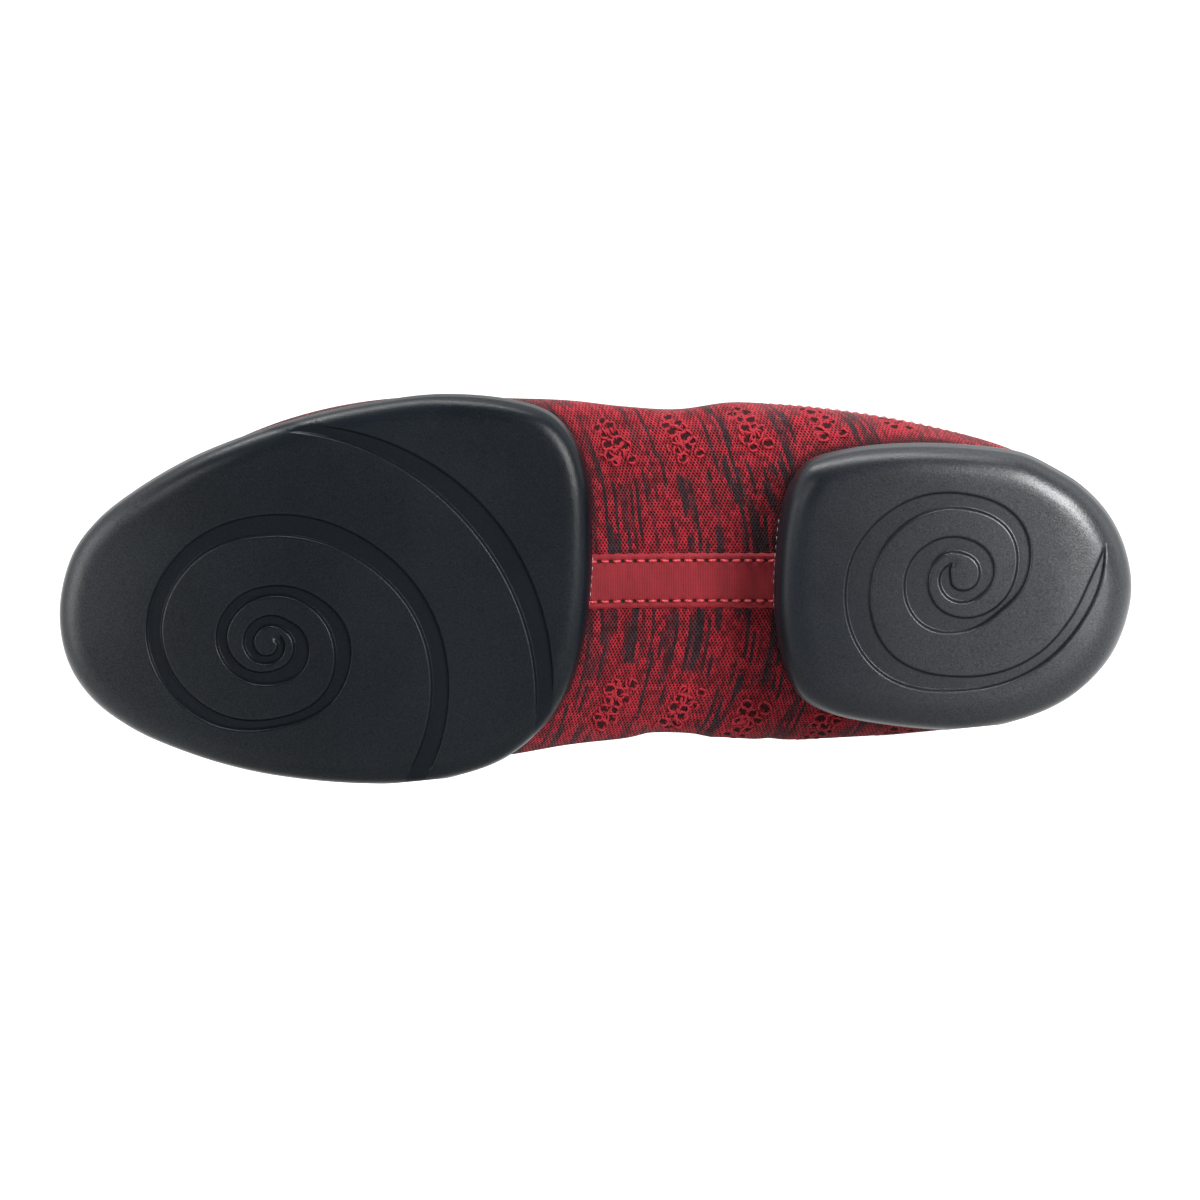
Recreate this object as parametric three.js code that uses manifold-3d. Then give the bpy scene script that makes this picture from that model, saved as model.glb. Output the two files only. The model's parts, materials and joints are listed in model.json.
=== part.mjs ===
// A split-sole dance sneaker for the left foot, lying on its inner side.
// The knitted upper is one hollow sock-like wall. A forefoot pad and a heel pad are glued under it, and
// between them the bare knit of the arch carries a woven tape. Each pad has a spiral groove to turn on.
//
// The shoe is modelled standing, in millimetres: X runs from the back of the heel to the toe, Y to the
// outer side and Z up from the tread. At the end it is laid on its side, as it would come to rest.
import * as THREE from 'three';
import { ConvexHull } from 'three/addons/math/ConvexHull.js';
import { mergeVertices } from 'three/addons/utils/BufferGeometryUtils.js';
import Module from 'manifold-3d';

const wasm = await Module();
wasm.setup();

// Driving sizes of the whole shoe
const soleLength = 260;
const ballWidth = 93.7;
const heelWidth = 68.4;
const waistWidth = 80;
const heelBed = 20; // height of the foot bed's underside over the tread, at the heel
const ballBed = 11; // the same at the ball
const archBed = 23; // the same at the top of the arch
const toeSpring = 13; // how far the tread rises at the tip of the toe
const ankleHeight = 112; // height of the last where it leaves the collar
const insideFit = 0.3; // gap between pieces that are glued or sewn together

// The knitted upper
const upperLength = 251;
const heelTuck = 3.5; // from the back of the heel pad to the back of the knit
const knitWall = 2.2;
const lastingMargin = 15; // knit turned in under the foot and covered by the pads
const collarBandHeight = 12;
const collarBandRelief = 0.8; // how far the ribbed band stands out from the knit below it

// The pads
const forefootPadLength = 129.3;
const heelPadLength = 85.9;
const forefootEdgeRoll = 5.5; // width of the rounded edge between tread and side
const heelEdgeRoll = 8;
const grooveDepth = 1;
const bedKey = 0.6; // how deep a pad's raised bed is rooted in the pad
const prismHeight = 1.3 * archBed; // above the foot bed everywhere, below the instep

// The tape along the arch and the insole
const tapeWidth = 13.4;
const tapeThickness = 0.8;
const tapeUnderPad = 7; // length of tape hidden under each pad
const insoleThickness = 3.5;

// Grams per cubic centimetre, which settle how the shoe balances on its side
const rubberDensity = 1.2;
const textileDensity = 0.3;

// Mesh steps
const ringSteps = 32;
const turnSteps = 30;
const outlineSteps = 46;
const spiralFineness = 4.5; // steps between two rows of a spiral at its full reach
const sweepSteps = 18;

// Sections of the last from heel to toe. at: share of the upper's length. low: underside, as a share of
// the region's bed height. high: share of the ankle height. outer and inner: half widths, as shares of
// half the region's girth width. wide: height of the widest level between low (0) and high (1). under
// and over: superellipse powers of the lower and upper halves.
const lastRegions = [
  {
    bed: heelBed,
    girth: heelWidth,
    rows: [
      { at: 0.0, low: 2.5, high: 0.59, outer: 0.17, inner: 0.19, wide: 0.5, under: 2, over: 2 },
      { at: 0.004, low: 1.95, high: 0.72, outer: 0.35, inner: 0.39, wide: 0.46, under: 2, over: 2.1 },
      { at: 0.016, low: 1.35, high: 0.83, outer: 0.53, inner: 0.6, wide: 0.36, under: 2.1, over: 2.2 },
      { at: 0.04, low: 1.07, high: 0.89, outer: 0.7, inner: 0.79, wide: 0.29, under: 2.2, over: 2.3 },
      { at: 0.08, low: 1.0, high: 0.93, outer: 0.875, inner: 0.965, wide: 0.245, under: 2.4, over: 2.3 },
      { at: 0.12, low: 1.0, high: 0.955, outer: 0.985, inner: 1.065, wide: 0.22, under: 2.4, over: 2.3 },
      { at: 0.17, low: 1.0, high: 0.98, outer: 1.075, inner: 1.125, wide: 0.2, under: 2.4, over: 2.3 },
      { at: 0.22, low: 1.01, high: 0.995, outer: 1.145, inner: 1.15, wide: 0.18, under: 2.4, over: 2.3 },
      { at: 0.27, low: 1.06, high: 1.0, outer: 1.2, inner: 1.17, wide: 0.16, under: 2.4, over: 2.3 },
    ],
  },
  {
    bed: archBed,
    girth: waistWidth,
    rows: [
      { at: 0.32, low: 0.96, high: 0.99, outer: 1.06, inner: 1.01, wide: 0.145, under: 2.4, over: 2.3 },
      { at: 0.37, low: 1.0, high: 0.97, outer: 1.075, inner: 0.995, wide: 0.13, under: 2.3, over: 2.3 },
      { at: 0.422, low: 0.99, high: 0.94, outer: 1.035, inner: 0.96, wide: 0.115, under: 2.3, over: 2.3 },
      { at: 0.475, low: 0.9, high: 0.89, outer: 1.055, inner: 0.99, wide: 0.115, under: 2.4, over: 2.3 },
    ],
  },
  {
    bed: ballBed,
    girth: ballWidth,
    rows: [
      { at: 0.53, low: 1.5, high: 0.825, outer: 0.935, inner: 0.872, wide: 0.145, under: 2.7, over: 2.3 },
      { at: 0.59, low: 1.17, high: 0.75, outer: 0.948, inner: 0.92, wide: 0.18, under: 3.3, over: 2.3 },
      { at: 0.66, low: 1.0, high: 0.675, outer: 0.96, inner: 0.95, wide: 0.215, under: 4, over: 2.3 },
      { at: 0.735, low: 1.02, high: 0.602, outer: 0.925, inner: 0.945, wide: 0.25, under: 4, over: 2.4 },
      { at: 0.805, low: 1.14, high: 0.545, outer: 0.835, inner: 0.905, wide: 0.28, under: 3.8, over: 2.5 },
      { at: 0.87, low: 1.34, high: 0.495, outer: 0.69, inner: 0.835, wide: 0.33, under: 3.4, over: 2.5 },
      { at: 0.925, low: 1.65, high: 0.445, outer: 0.515, inner: 0.715, wide: 0.39, under: 3, over: 2.4 },
      { at: 0.965, low: 2.0, high: 0.395, outer: 0.33, inner: 0.565, wide: 0.44, under: 2.6, over: 2.2 },
      { at: 0.99, low: 2.38, high: 0.35, outer: 0.14, inner: 0.375, wide: 0.48, under: 2.2, over: 2 },
      { at: 1.0, low: 2.75, high: 0.315, outer: 0.0, inner: 0.2, wide: 0.5, under: 2, over: 2 },
    ],
  },
];
const sections = lastRegions.flatMap(({ bed, girth, rows }) => rows.map((row) => ({ ...row, bed, girth })));

// Outlines of the pads at their widest level. along: share of the pad's length, from its rear end.
// across: share of half its width, positive towards the outer side.
const forefootOutline = [
  { along: 0.0, across: 0.25 },
  { along: 0.006, across: 0.54 },
  { along: 0.03, across: 0.74 },
  { along: 0.075, across: 0.88 },
  { along: 0.15, across: 0.95 },
  { along: 0.28, across: 0.978 },
  { along: 0.4, across: 0.94 },
  { along: 0.52, across: 0.872 },
  { along: 0.636, across: 0.772 },
  { along: 0.75, across: 0.643 },
  { along: 0.85, across: 0.482 },
  { along: 0.925, across: 0.32 },
  { along: 0.975, across: 0.135 },
  { along: 1.0, across: -0.15 },
  { along: 0.985, across: -0.41 },
  { along: 0.94, across: -0.595 },
  { along: 0.86, across: -0.748 },
  { along: 0.75, across: -0.87 },
  { along: 0.63, across: -0.957 },
  { along: 0.5, across: -1.007 },
  { along: 0.38, across: -1.018 },
  { along: 0.27, across: -0.99 },
  { along: 0.17, across: -0.9 },
  { along: 0.1, across: -0.755 },
  { along: 0.05, across: -0.57 },
  { along: 0.018, across: -0.32 },
  { along: 0.003, across: -0.02 },
];
const heelOutline = [
  { along: 1.0, across: -0.03 },
  { along: 0.983, across: 0.48 },
  { along: 0.957, across: 0.7 },
  { along: 0.909, across: 0.86 },
  { along: 0.8, across: 0.945 },
  { along: 0.636, across: 0.985 },
  { along: 0.45, across: 0.97 },
  { along: 0.312, across: 0.92 },
  { along: 0.227, across: 0.822 },
  { along: 0.141, across: 0.684 },
  { along: 0.066, across: 0.485 },
  { along: 0.018, across: 0.24 },
  { along: 0.0, across: -0.05 },
  { along: 0.028, across: -0.36 },
  { along: 0.08, across: -0.58 },
  { along: 0.18, across: -0.8 },
  { along: 0.308, across: -0.942 },
  { along: 0.48, across: -1.015 },
  { along: 0.7, across: -0.975 },
  { along: 0.85, across: -0.895 },
  { along: 0.93, across: -0.78 },
  { along: 0.972, across: -0.575 },
  { along: 0.994, across: -0.3 },
];

// The side of a pad from the edge of its flat tread to its lip. inset: share of the edge roll. rise:
// share of the height from tread to lip.
const padSide = [
  { inset: 1.0, rise: 0.0 },
  { inset: 0.58, rise: 0.02 },
  { inset: 0.27, rise: 0.07 },
  { inset: 0.08, rise: 0.14 },
  { inset: 0.0, rise: 0.23 },
  { inset: 0.0, rise: 0.45 },
  { inset: 0.04, rise: 0.7 },
  { inset: 0.13, rise: 0.9 },
  { inset: 0.28, rise: 1.0 },
];
const treadRings = [0.35, 0.7]; // rings inside the flat tread, as shares of its edge

// Height of each pad's lip, as a share of its bed height, at shares of the pad's length.
const forefootLip = [
  { along: 0.0, height: 2.05 },
  { along: 0.17, height: 1.85 },
  { along: 0.35, height: 1.68 },
  { along: 0.6, height: 1.85 },
  { along: 0.82, height: 2.4 },
  { along: 1.0, height: 2.95 },
];
const heelLip = [
  { along: 0.0, height: 1.75 },
  { along: 0.18, height: 1.5 },
  { along: 0.5, height: 1.32 },
  { along: 1.0, height: 1.38 },
];
const toeRollShare = 0.6; // where the forefoot tread starts to rise, as a share of its length
const backRollShare = 0.25; // length of the bevel at the back of the heel tread, as a share of its length
const backRoll = 2.5; // how far the heel tread rises there

// The edge of the collar seen from the side, from the back of the heel to the throat. at: share of the
// upper's length. height: share of the ankle height.
const collarEdge = [
  { at: -0.06, height: 0.765 },
  { at: 0.02, height: 0.75 },
  { at: 0.11, height: 0.68 },
  { at: 0.22, height: 0.62 },
  { at: 0.33, height: 0.635 },
  { at: 0.42, height: 0.72 },
  { at: 0.475, height: 0.83 },
  { at: 0.5, height: 0.96 },
  { at: 0.51, height: 1.1 },
];

// Spiral grooves, wound inwards from the pad's edge. along and across place the centre on the pad as in
// the outlines. turn: degrees wound so far. Seen from under the shoe with the toe to the left, 0 points
// to the heel and 90 is a quarter turn towards winding. reach and width: as shares of half the pad's
// width.
const forefootSpiral = {
  along: 0.592,
  across: -0.271,
  winding: 1,
  rows: [
    { turn: -45, reach: 1.027, width: 0.102 },
    { turn: 0, reach: 0.826, width: 0.098 },
    { turn: 45, reach: 0.654, width: 0.113 },
    { turn: 90, reach: 0.589, width: 0.115 },
    { turn: 135, reach: 0.609, width: 0.092 },
    { turn: 180, reach: 0.612, width: 0.088 },
    { turn: 225, reach: 0.522, width: 0.075 },
    { turn: 270, reach: 0.431, width: 0.055 },
    { turn: 315, reach: 0.41, width: 0.068 },
    { turn: 360, reach: 0.354, width: 0.094 },
    { turn: 405, reach: 0.285, width: 0.07 },
    { turn: 450, reach: 0.252, width: 0.06 },
    { turn: 495, reach: 0.255, width: 0.062 },
    { turn: 540, reach: 0.261, width: 0.062 },
    { turn: 585, reach: 0.232, width: 0.066 },
    { turn: 630, reach: 0.195, width: 0.075 },
    { turn: 675, reach: 0.177, width: 0.09 },
    { turn: 720, reach: 0.14, width: 0.079 },
    { turn: 765, reach: 0.104, width: 0.062 },
    { turn: 810, reach: 0.099, width: 0.062 },
    { turn: 855, reach: 0.107, width: 0.06 },
    { turn: 900, reach: 0.121, width: 0.062 },
    { turn: 945, reach: 0.122, width: 0.055 },
    { turn: 990, reach: 0.097, width: 0.049 },
    { turn: 1035, reach: 0.062, width: 0.047 },
    { turn: 1080, reach: 0.034, width: 0.043 },
  ],
};
const heelSpiral = {
  along: 0.476,
  across: 0.082,
  winding: -1,
  rows: [
    { turn: -12, reach: 1.01, width: 0.02 },
    { turn: 0, reach: 0.936, width: 0.082 },
    { turn: 22, reach: 0.848, width: 0.094 },
    { turn: 45, reach: 0.8, width: 0.091 },
    { turn: 90, reach: 0.763, width: 0.111 },
    { turn: 135, reach: 0.83, width: 0.164 },
    { turn: 180, reach: 0.738, width: 0.184 },
    { turn: 225, reach: 0.61, width: 0.149 },
    { turn: 270, reach: 0.52, width: 0.117 },
    { turn: 315, reach: 0.491, width: 0.117 },
    { turn: 360, reach: 0.398, width: 0.094 },
    { turn: 405, reach: 0.335, width: 0.056 },
    { turn: 450, reach: 0.346, width: 0.108 },
    { turn: 495, reach: 0.374, width: 0.181 },
    { turn: 540, reach: 0.333, width: 0.175 },
    { turn: 585, reach: 0.269, width: 0.129 },
    { turn: 630, reach: 0.206, width: 0.12 },
    { turn: 675, reach: 0.177, width: 0.12 },
    { turn: 720, reach: 0.154, width: 0.114 },
    { turn: 765, reach: 0.143, width: 0.094 },
    { turn: 810, reach: 0.149, width: 0.099 },
    { turn: 855, reach: 0.154, width: 0.096 },
    { turn: 900, reach: 0.136, width: 0.085 },
    { turn: 935, reach: 0.123, width: 0.03 },
  ],
};
// The sweeping groove behind the forefoot spiral: a circular arc through three places on the pad, with
// its width as a share of half the pad's width.
const sweepGroove = [
  { along: 0.581, across: 0.82, width: 0.05 },
  { along: 0.235, across: 0.43, width: 0.13 },
  { along: 0.09, across: -0.72, width: 0.09 },
];

const forefootStart = soleLength - forefootPadLength;

// A value from a table at t, from 0 at the first row to 1 at the last, on a smooth curve through them.
function smooth(values, t) {
  const last = values.length - 1;
  const place = THREE.MathUtils.clamp(t, 0, 1) * last;
  const i = Math.min(Math.floor(place), last - 1);
  const f = place - i;
  const [p0, p1, p2, p3] = [-1, 0, 1, 2].map((k) => values[THREE.MathUtils.clamp(i + k, 0, last)]);
  return p1 + 0.5 * f * (p2 - p0 + f * (2 * p0 - 5 * p1 + 4 * p2 - p3 + f * (3 * (p1 - p2) + p3 - p0)));
}

// A value from a table whose rows are placed by a column, eased from row to row.
function between(rows, placeColumn, valueColumn, place) {
  const next = rows.findIndex((row) => row[placeColumn] >= place);
  if (next < 0) return rows.at(-1)[valueColumn];
  if (next === 0) return rows[0][valueColumn];
  const [a, b] = [rows[next - 1], rows[next]];
  const share = (place - a[placeColumn]) / (b[placeColumn] - a[placeColumn]);
  return THREE.MathUtils.lerp(a[valueColumn], b[valueColumn], THREE.MathUtils.smoothstep(share, 0, 1));
}

// Geometry and solids

// A closed mesh from rings of equal length, each end closed by a fan to its own middle point.
function closeRings(rings, firstMiddle, lastMiddle) {
  const count = rings[0].length;
  const points = [...rings.flat(), firstMiddle, lastMiddle];
  const first = points.length - 2;
  const faces = [];
  for (let i = 0; i < rings.length - 1; i++) {
    for (let j = 0; j < count; j++) {
      const [a, b] = [i * count + j, i * count + ((j + 1) % count)];
      faces.push(a, b, b + count, a, b + count, a + count);
    }
  }
  for (let j = 0; j < count; j++) {
    const k = (j + 1) % count;
    faces.push(first, k, j);
    faces.push(first + 1, (rings.length - 1) * count + j, (rings.length - 1) * count + k);
  }
  const geometry = new THREE.BufferGeometry().setFromPoints(points);
  geometry.setIndex(faces);
  return geometry;
}

function toSolid(geometry) {
  const bare = new THREE.BufferGeometry();
  bare.setAttribute('position', geometry.getAttribute('position'));
  bare.setIndex(geometry.getIndex());
  const merged = mergeVertices(bare, 1e-4);
  const solid = new wasm.Manifold(new wasm.Mesh({
    numProp: 3,
    vertProperties: merged.getAttribute('position').array,
    triVerts: new Uint32Array(merged.getIndex().array),
  }));
  if (solid.volume() > 0) return solid;
  throw new Error('a form is inside out');
}

function toGeometry(solid) {
  const mesh = solid.getMesh();
  const geometry = new THREE.BufferGeometry();
  geometry.setAttribute('position', new THREE.BufferAttribute(new Float32Array(mesh.vertProperties), 3));
  geometry.setIndex(new THREE.BufferAttribute(new Uint32Array(mesh.triVerts), 1));
  const faceted = geometry.toNonIndexed();
  faceted.computeVertexNormals();
  return faceted;
}

// A solid with the given outline in the XZ plane, right across the shoe.
function sideSlab(points) {
  const shape = new THREE.Shape(points.map((p) => new THREE.Vector2(p.x, p.z)));
  const geometry = new THREE.ExtrudeGeometry(shape, { depth: 2 * ballWidth, bevelEnabled: false });
  geometry.rotateX(Math.PI / 2);
  geometry.translate(0, ballWidth, 0);
  return toSolid(geometry);
}

function block(low, high) {
  const size = high.clone().sub(low);
  const geometry = new THREE.BoxGeometry(size.x, size.y, size.z);
  geometry.translate(...low.clone().add(high).multiplyScalar(0.5).toArray());
  return toSolid(geometry);
}

// The last

const lastColumns = Object.fromEntries(Object.entries({
  x: (s) => heelTuck + s.at * upperLength,
  low: (s) => s.low * s.bed,
  high: (s) => s.high * ankleHeight,
  outer: (s) => s.outer * s.girth / 2,
  inner: (s) => s.inner * s.girth / 2,
  level: (s) => THREE.MathUtils.lerp(s.low * s.bed, s.high * ankleHeight, s.wide),
  under: (s) => s.under,
  over: (s) => s.over,
}).map(([name, rule]) => [name, sections.map(rule)]));

function sectionAt(t) {
  return Object.fromEntries(Object.entries(lastColumns).map(([name, values]) => [name, smooth(values, t)]));
}

// A point of the last's surface. t runs from heel to toe and turn goes round from the outer side over
// the instep.
function lastPoint(t, turn) {
  const s = sectionAt(t);
  const [c, d] = [Math.cos(turn), Math.sin(turn)];
  const power = 2 / (d > 0 ? s.over : s.under);
  const halfWidth = c > 0 ? s.outer : s.inner;
  const reach = d > 0 ? s.high - s.level : s.level - s.low;
  return new THREE.Vector3(
    s.x,
    Math.sign(c) * halfWidth * Math.abs(c) ** power,
    s.level + Math.sign(d) * reach * Math.abs(d) ** power,
  );
}

// The outward normal of the last's surface, from points a small step away on each side.
function lastNormal(t, turn) {
  const [dt, dTurn] = [0.004, 0.06];
  const along = lastPoint(Math.min(t + dt, 1), turn).sub(lastPoint(Math.max(t - dt, 0), turn));
  const around = lastPoint(t, turn + dTurn).sub(lastPoint(t, turn - dTurn));
  return around.cross(along).normalize();
}

// The last as a solid, grown outwards by a distance, or shrunk where it is negative.
function lastSolid(grow) {
  const rings = [];
  for (let i = 0; i <= ringSteps; i++) {
    const t = i / ringSteps;
    const ring = [];
    for (let j = 0; j < turnSteps; j++) {
      const turn = (2 * Math.PI * j) / turnSteps;
      ring.push(lastPoint(t, turn).addScaledVector(lastNormal(t, turn), grow));
    }
    rings.push(ring);
  }
  const middles = [0, 1].map((t) => {
    const s = sectionAt(t);
    return new THREE.Vector3(s.x + (t ? grow : -grow), (s.outer - s.inner) / 2, s.level);
  });
  return toSolid(closeRings(rings, middles[0], middles[1]));
}

// Height of the last's underside on the centre line at x.
function bedHeight(x) {
  let [low, high] = [0, 1];
  for (let i = 0; i < 30; i++) {
    const middle = (low + high) / 2;
    if (smooth(lastColumns.x, middle) < x) low = middle;
    else high = middle;
  }
  return smooth(lastColumns.low, low);
}

// The collar's edge, or a line parallel to it and further down the shoe.
function collarLine(down) {
  const curve = new THREE.SplineCurve(collarEdge.map((row) => new THREE.Vector2(
    heelTuck + row.at * upperLength, row.height * ankleHeight)));
  return curve.getPoints(24).map((p, i, all) => {
    const tangent = curve.getTangent(i / (all.length - 1));
    return { x: p.x + tangent.y * down, z: p.y - tangent.x * down };
  });
}

// Everything above a line parallel to the collar's edge.
function aboveCollar(down) {
  const line = collarLine(down);
  const top = 2 * ankleHeight;
  return sideSlab([...line, { x: line.at(-1).x, z: top }, { x: line[0].x, z: top }]);
}

// The pads

const forefootPad = {
  start: forefootStart, length: forefootPadLength, halfWidth: ballWidth / 2, outline: forefootOutline,
  roll: forefootEdgeRoll, lip: forefootLip, bed: ballBed,
  tread: (along) => toeSpring * Math.max(0, (along - toeRollShare) / (1 - toeRollShare)) ** 2,
};
const heelPad = {
  start: 0, length: heelPadLength, halfWidth: heelWidth / 2, outline: heelOutline,
  roll: heelEdgeRoll, lip: heelLip, bed: heelBed,
  tread: (along) => backRoll * Math.max(0, 1 - along / backRollShare) ** 2,
};

// A place given by its shares of a pad's length and half width.
function onPad(pad, along, across) {
  return new THREE.Vector2(pad.start + along * pad.length, across * pad.halfWidth);
}

// Evenly spaced points of a pad's outline, moved inwards by a distance. They run anticlockwise from above.
function padOutline(pad, inset) {
  const curve = new THREE.CatmullRomCurve3(pad.outline.map((row) => {
    const p = onPad(pad, row.along, row.across);
    return new THREE.Vector3(p.x, p.y, 0);
  }), true, 'centripetal');
  const points = curve.getSpacedPoints(outlineSteps).slice(1);
  if (THREE.ShapeUtils.isClockWise(points)) points.reverse();
  return points.map((p, i) => {
    const before = points.at(i - 1);
    const after = points[(i + 1) % points.length];
    const along = after.clone().sub(before).normalize();
    return new THREE.Vector2(p.x - along.y * inset, p.y + along.x * inset);
  });
}

// A pad as a plain block with a flat tread, rounded edges and a lip, before the foot is sunk into it.
function padBlock(pad) {
  const share = (x) => (x - pad.start) / pad.length;
  const lipAt = (x) => between(pad.lip, 'along', 'height', share(x)) * pad.bed;
  const middle = onPad(pad, 0.5, 0);
  const onTread = (p) => new THREE.Vector3(p.x, p.y, pad.tread(share(p.x)));
  const flat = padOutline(pad, pad.roll);
  const rings = treadRings.map((scale) => flat.map((p) => onTread(middle.clone().lerp(p, scale))));
  for (const row of padSide) {
    rings.push(padOutline(pad, row.inset * pad.roll).map((p) => {
      const low = pad.tread(share(p.x));
      return new THREE.Vector3(p.x, p.y, low + row.rise * (lipAt(p.x) - low));
    }));
  }
  const top = new THREE.Vector3(middle.x, middle.y, lipAt(middle.x));
  return toSolid(closeRings(rings, onTread(middle), top));
}

// A groove's tool: a strip along a line on the tread, from below it up to the groove's floor.
function grooveTool(pad, line) {
  const below = -2 * grooveDepth;
  const rings = line.map(({ place, width }, i) => {
    const before = line[Math.max(i - 1, 0)].place;
    const after = line[Math.min(i + 1, line.length - 1)].place;
    const along = after.clone().sub(before).normalize();
    const side = new THREE.Vector2(-along.y, along.x).multiplyScalar(width / 2);
    const floor = pad.tread((place.x - pad.start) / pad.length) + grooveDepth;
    const [left, right] = [place.clone().add(side), place.clone().sub(side)];
    return [
      new THREE.Vector3(left.x, left.y, floor), new THREE.Vector3(right.x, right.y, floor),
      new THREE.Vector3(right.x, right.y, below), new THREE.Vector3(left.x, left.y, below),
    ];
  });
  const middles = [rings[0], rings.at(-1)].map((ring) => (
    ring.reduce((sum, p) => sum.add(p), new THREE.Vector3()).divideScalar(ring.length)));
  return toSolid(closeRings(rings, middles[0], middles[1]));
}

// The middle line of a spiral groove, smooth through the rows of its table. Its steps grow with its reach.
function spiralLine(pad, spiral) {
  const centre = onPad(pad, spiral.along, spiral.across);
  const gaps = spiral.rows.length - 1;
  const curve = new THREE.CatmullRomCurve3(spiral.rows.map((row) => (
    new THREE.Vector3(THREE.MathUtils.degToRad(row.turn), row.reach, row.width))));
  const stops = spiral.rows.slice(0, -1).flatMap((row, i) => {
    const steps = Math.round(spiralFineness * Math.sqrt(row.reach));
    return Array.from({ length: steps }, (_, k) => (i + k / steps) / gaps);
  });
  return [...stops, 1].map((stop) => {
    const p = curve.getPoint(stop);
    const angle = p.x * spiral.winding;
    const radius = p.y * pad.halfWidth;
    return {
      place: new THREE.Vector2(centre.x - radius * Math.cos(angle), centre.y + radius * Math.sin(angle)),
      width: p.z * pad.halfWidth,
    };
  });
}

// The middle line of the sweeping groove: the circle through its three places.
function sweepLine(pad, rows) {
  const [a, b, c] = rows.map((row) => onPad(pad, row.along, row.across));
  const [p, q] = [b.clone().sub(a), c.clone().sub(a)];
  const scale = 1 / (2 * p.cross(q));
  const centre = new THREE.Vector2(
    (q.y * p.lengthSq() - p.y * q.lengthSq()) * scale,
    (p.x * q.lengthSq() - q.x * p.lengthSq()) * scale,
  ).add(a);
  const radius = centre.distanceTo(a);
  const angles = [a, b, c].map((point) => point.clone().sub(centre).angle());
  return Array.from({ length: sweepSteps + 1 }, (_, i) => {
    const share = i / sweepSteps;
    const angle = THREE.MathUtils.lerp(angles[0], angles[2], share);
    const place = new THREE.Vector2(Math.cos(angle), Math.sin(angle)).multiplyScalar(radius).add(centre);
    const width = smooth(rows.map((row) => row.width), share) * pad.halfWidth;
    return { place, width };
  });
}

// A vertical prism inside a pad's outline, through the underside of the upper.
function bedPrism(pad, inset) {
  const shape = new THREE.Shape(padOutline(pad, inset).filter((_, i) => i % 2 === 0));
  const geometry = new THREE.ExtrudeGeometry(shape, { depth: prismHeight, bevelEnabled: false });
  return toSolid(geometry);
}

// The shaped solids

const outside = lastSolid(0);
const inside = lastSolid(-knitWall);
const seat = lastSolid(insideFit); // what the pads are shaped to

function makeUpper() {
  let solid = outside.subtract(inside).subtract(aboveCollar(collarBandHeight));
  for (const pad of [forefootPad, heelPad]) solid = solid.subtract(bedPrism(pad, lastingMargin));
  return solid;
}

function makeCollarBand() {
  const shell = lastSolid(collarBandRelief).subtract(inside);
  return shell.intersect(aboveCollar(collarBandHeight - insideFit)).subtract(aboveCollar(0));
}

function tapeForm(thickness, side, end) {
  const start = heelPadLength - tapeUnderPad - end;
  const finish = forefootStart + tapeUnderPad + end;
  const half = tapeWidth / 2 + side;
  const box = block(new THREE.Vector3(start, -half, 0), new THREE.Vector3(finish, half, 2 * archBed));
  return lastSolid(insideFit + thickness).intersect(box);
}

function makeTape() {
  return tapeForm(tapeThickness, 0, 0).subtract(seat);
}

function makePad(pad, grooves) {
  const rooted = lastSolid(insideFit + bedKey).subtract(inside);
  const bed = bedPrism(pad, lastingMargin + insideFit).intersect(rooted);
  let solid = padBlock(pad).subtract(seat).add(bed);
  solid = solid.subtract(tapeForm(tapeThickness + insideFit, insideFit, insideFit));
  for (const line of grooves) solid = solid.subtract(grooveTool(pad, line));
  return solid;
}

function makeInsole() {
  const rows = Array.from({ length: ringSteps + 1 }, (_, i) => heelTuck + (upperLength * i) / ringSteps);
  const top = rows.map((x) => ({ x, z: bedHeight(x) + knitWall + insideFit + insoleThickness }));
  const under = sideSlab([{ x: top[0].x, z: 0 }, { x: top.at(-1).x, z: 0 }, ...top.reverse()]);
  return lastSolid(-knitWall - insideFit).intersect(under);
}

const finishes = {
  knit: { color: 0x8a2a34, roughness: 0.9, metalness: 0 },
  rib: { color: 0x74222c, roughness: 0.9, metalness: 0 },
  rubber: { color: 0x2b2d30, roughness: 0.6, metalness: 0 },
  tape: { color: 0x9c3842, roughness: 0.7, metalness: 0 },
  insole: { color: 0x1f2022, roughness: 0.9, metalness: 0 },
};
const forefootGrooves = [spiralLine(forefootPad, forefootSpiral), sweepLine(forefootPad, sweepGroove)];
const heelGrooves = [spiralLine(heelPad, heelSpiral)];
const pieces = [
  { name: 'upper', solid: makeUpper(), density: textileDensity, finish: finishes.knit },
  { name: 'collar_band', solid: makeCollarBand(), density: textileDensity, finish: finishes.rib },
  {
    name: 'forefoot_pad',
    solid: makePad(forefootPad, forefootGrooves),
    density: rubberDensity,
    finish: finishes.rubber,
  },
  { name: 'heel_pad', solid: makePad(heelPad, heelGrooves), density: rubberDensity, finish: finishes.rubber },
  { name: 'arch_tape', solid: makeTape(), density: textileDensity, finish: finishes.tape },
  { name: 'insole', solid: makeInsole(), density: textileDensity, finish: finishes.insole },
];

// Laying the shoe on its side

// The centre of mass and the corners of all pieces.
function massAndCorners() {
  const balance = new THREE.Vector3();
  let mass = 0;
  const corners = [];
  for (const piece of pieces) {
    const p = toGeometry(piece.solid).getAttribute('position');
    for (let i = 0; i < p.count; i += 3) {
      const [a, b, c] = [0, 1, 2].map((k) => new THREE.Vector3().fromBufferAttribute(p, i + k));
      const part = (a.dot(b.clone().cross(c)) / 6) * piece.density;
      mass += part;
      balance.addScaledVector(a.clone().add(b).add(c), part / 4);
      corners.push(a, b, c);
    }
  }
  return { centre: balance.divideScalar(mass), corners };
}

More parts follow.
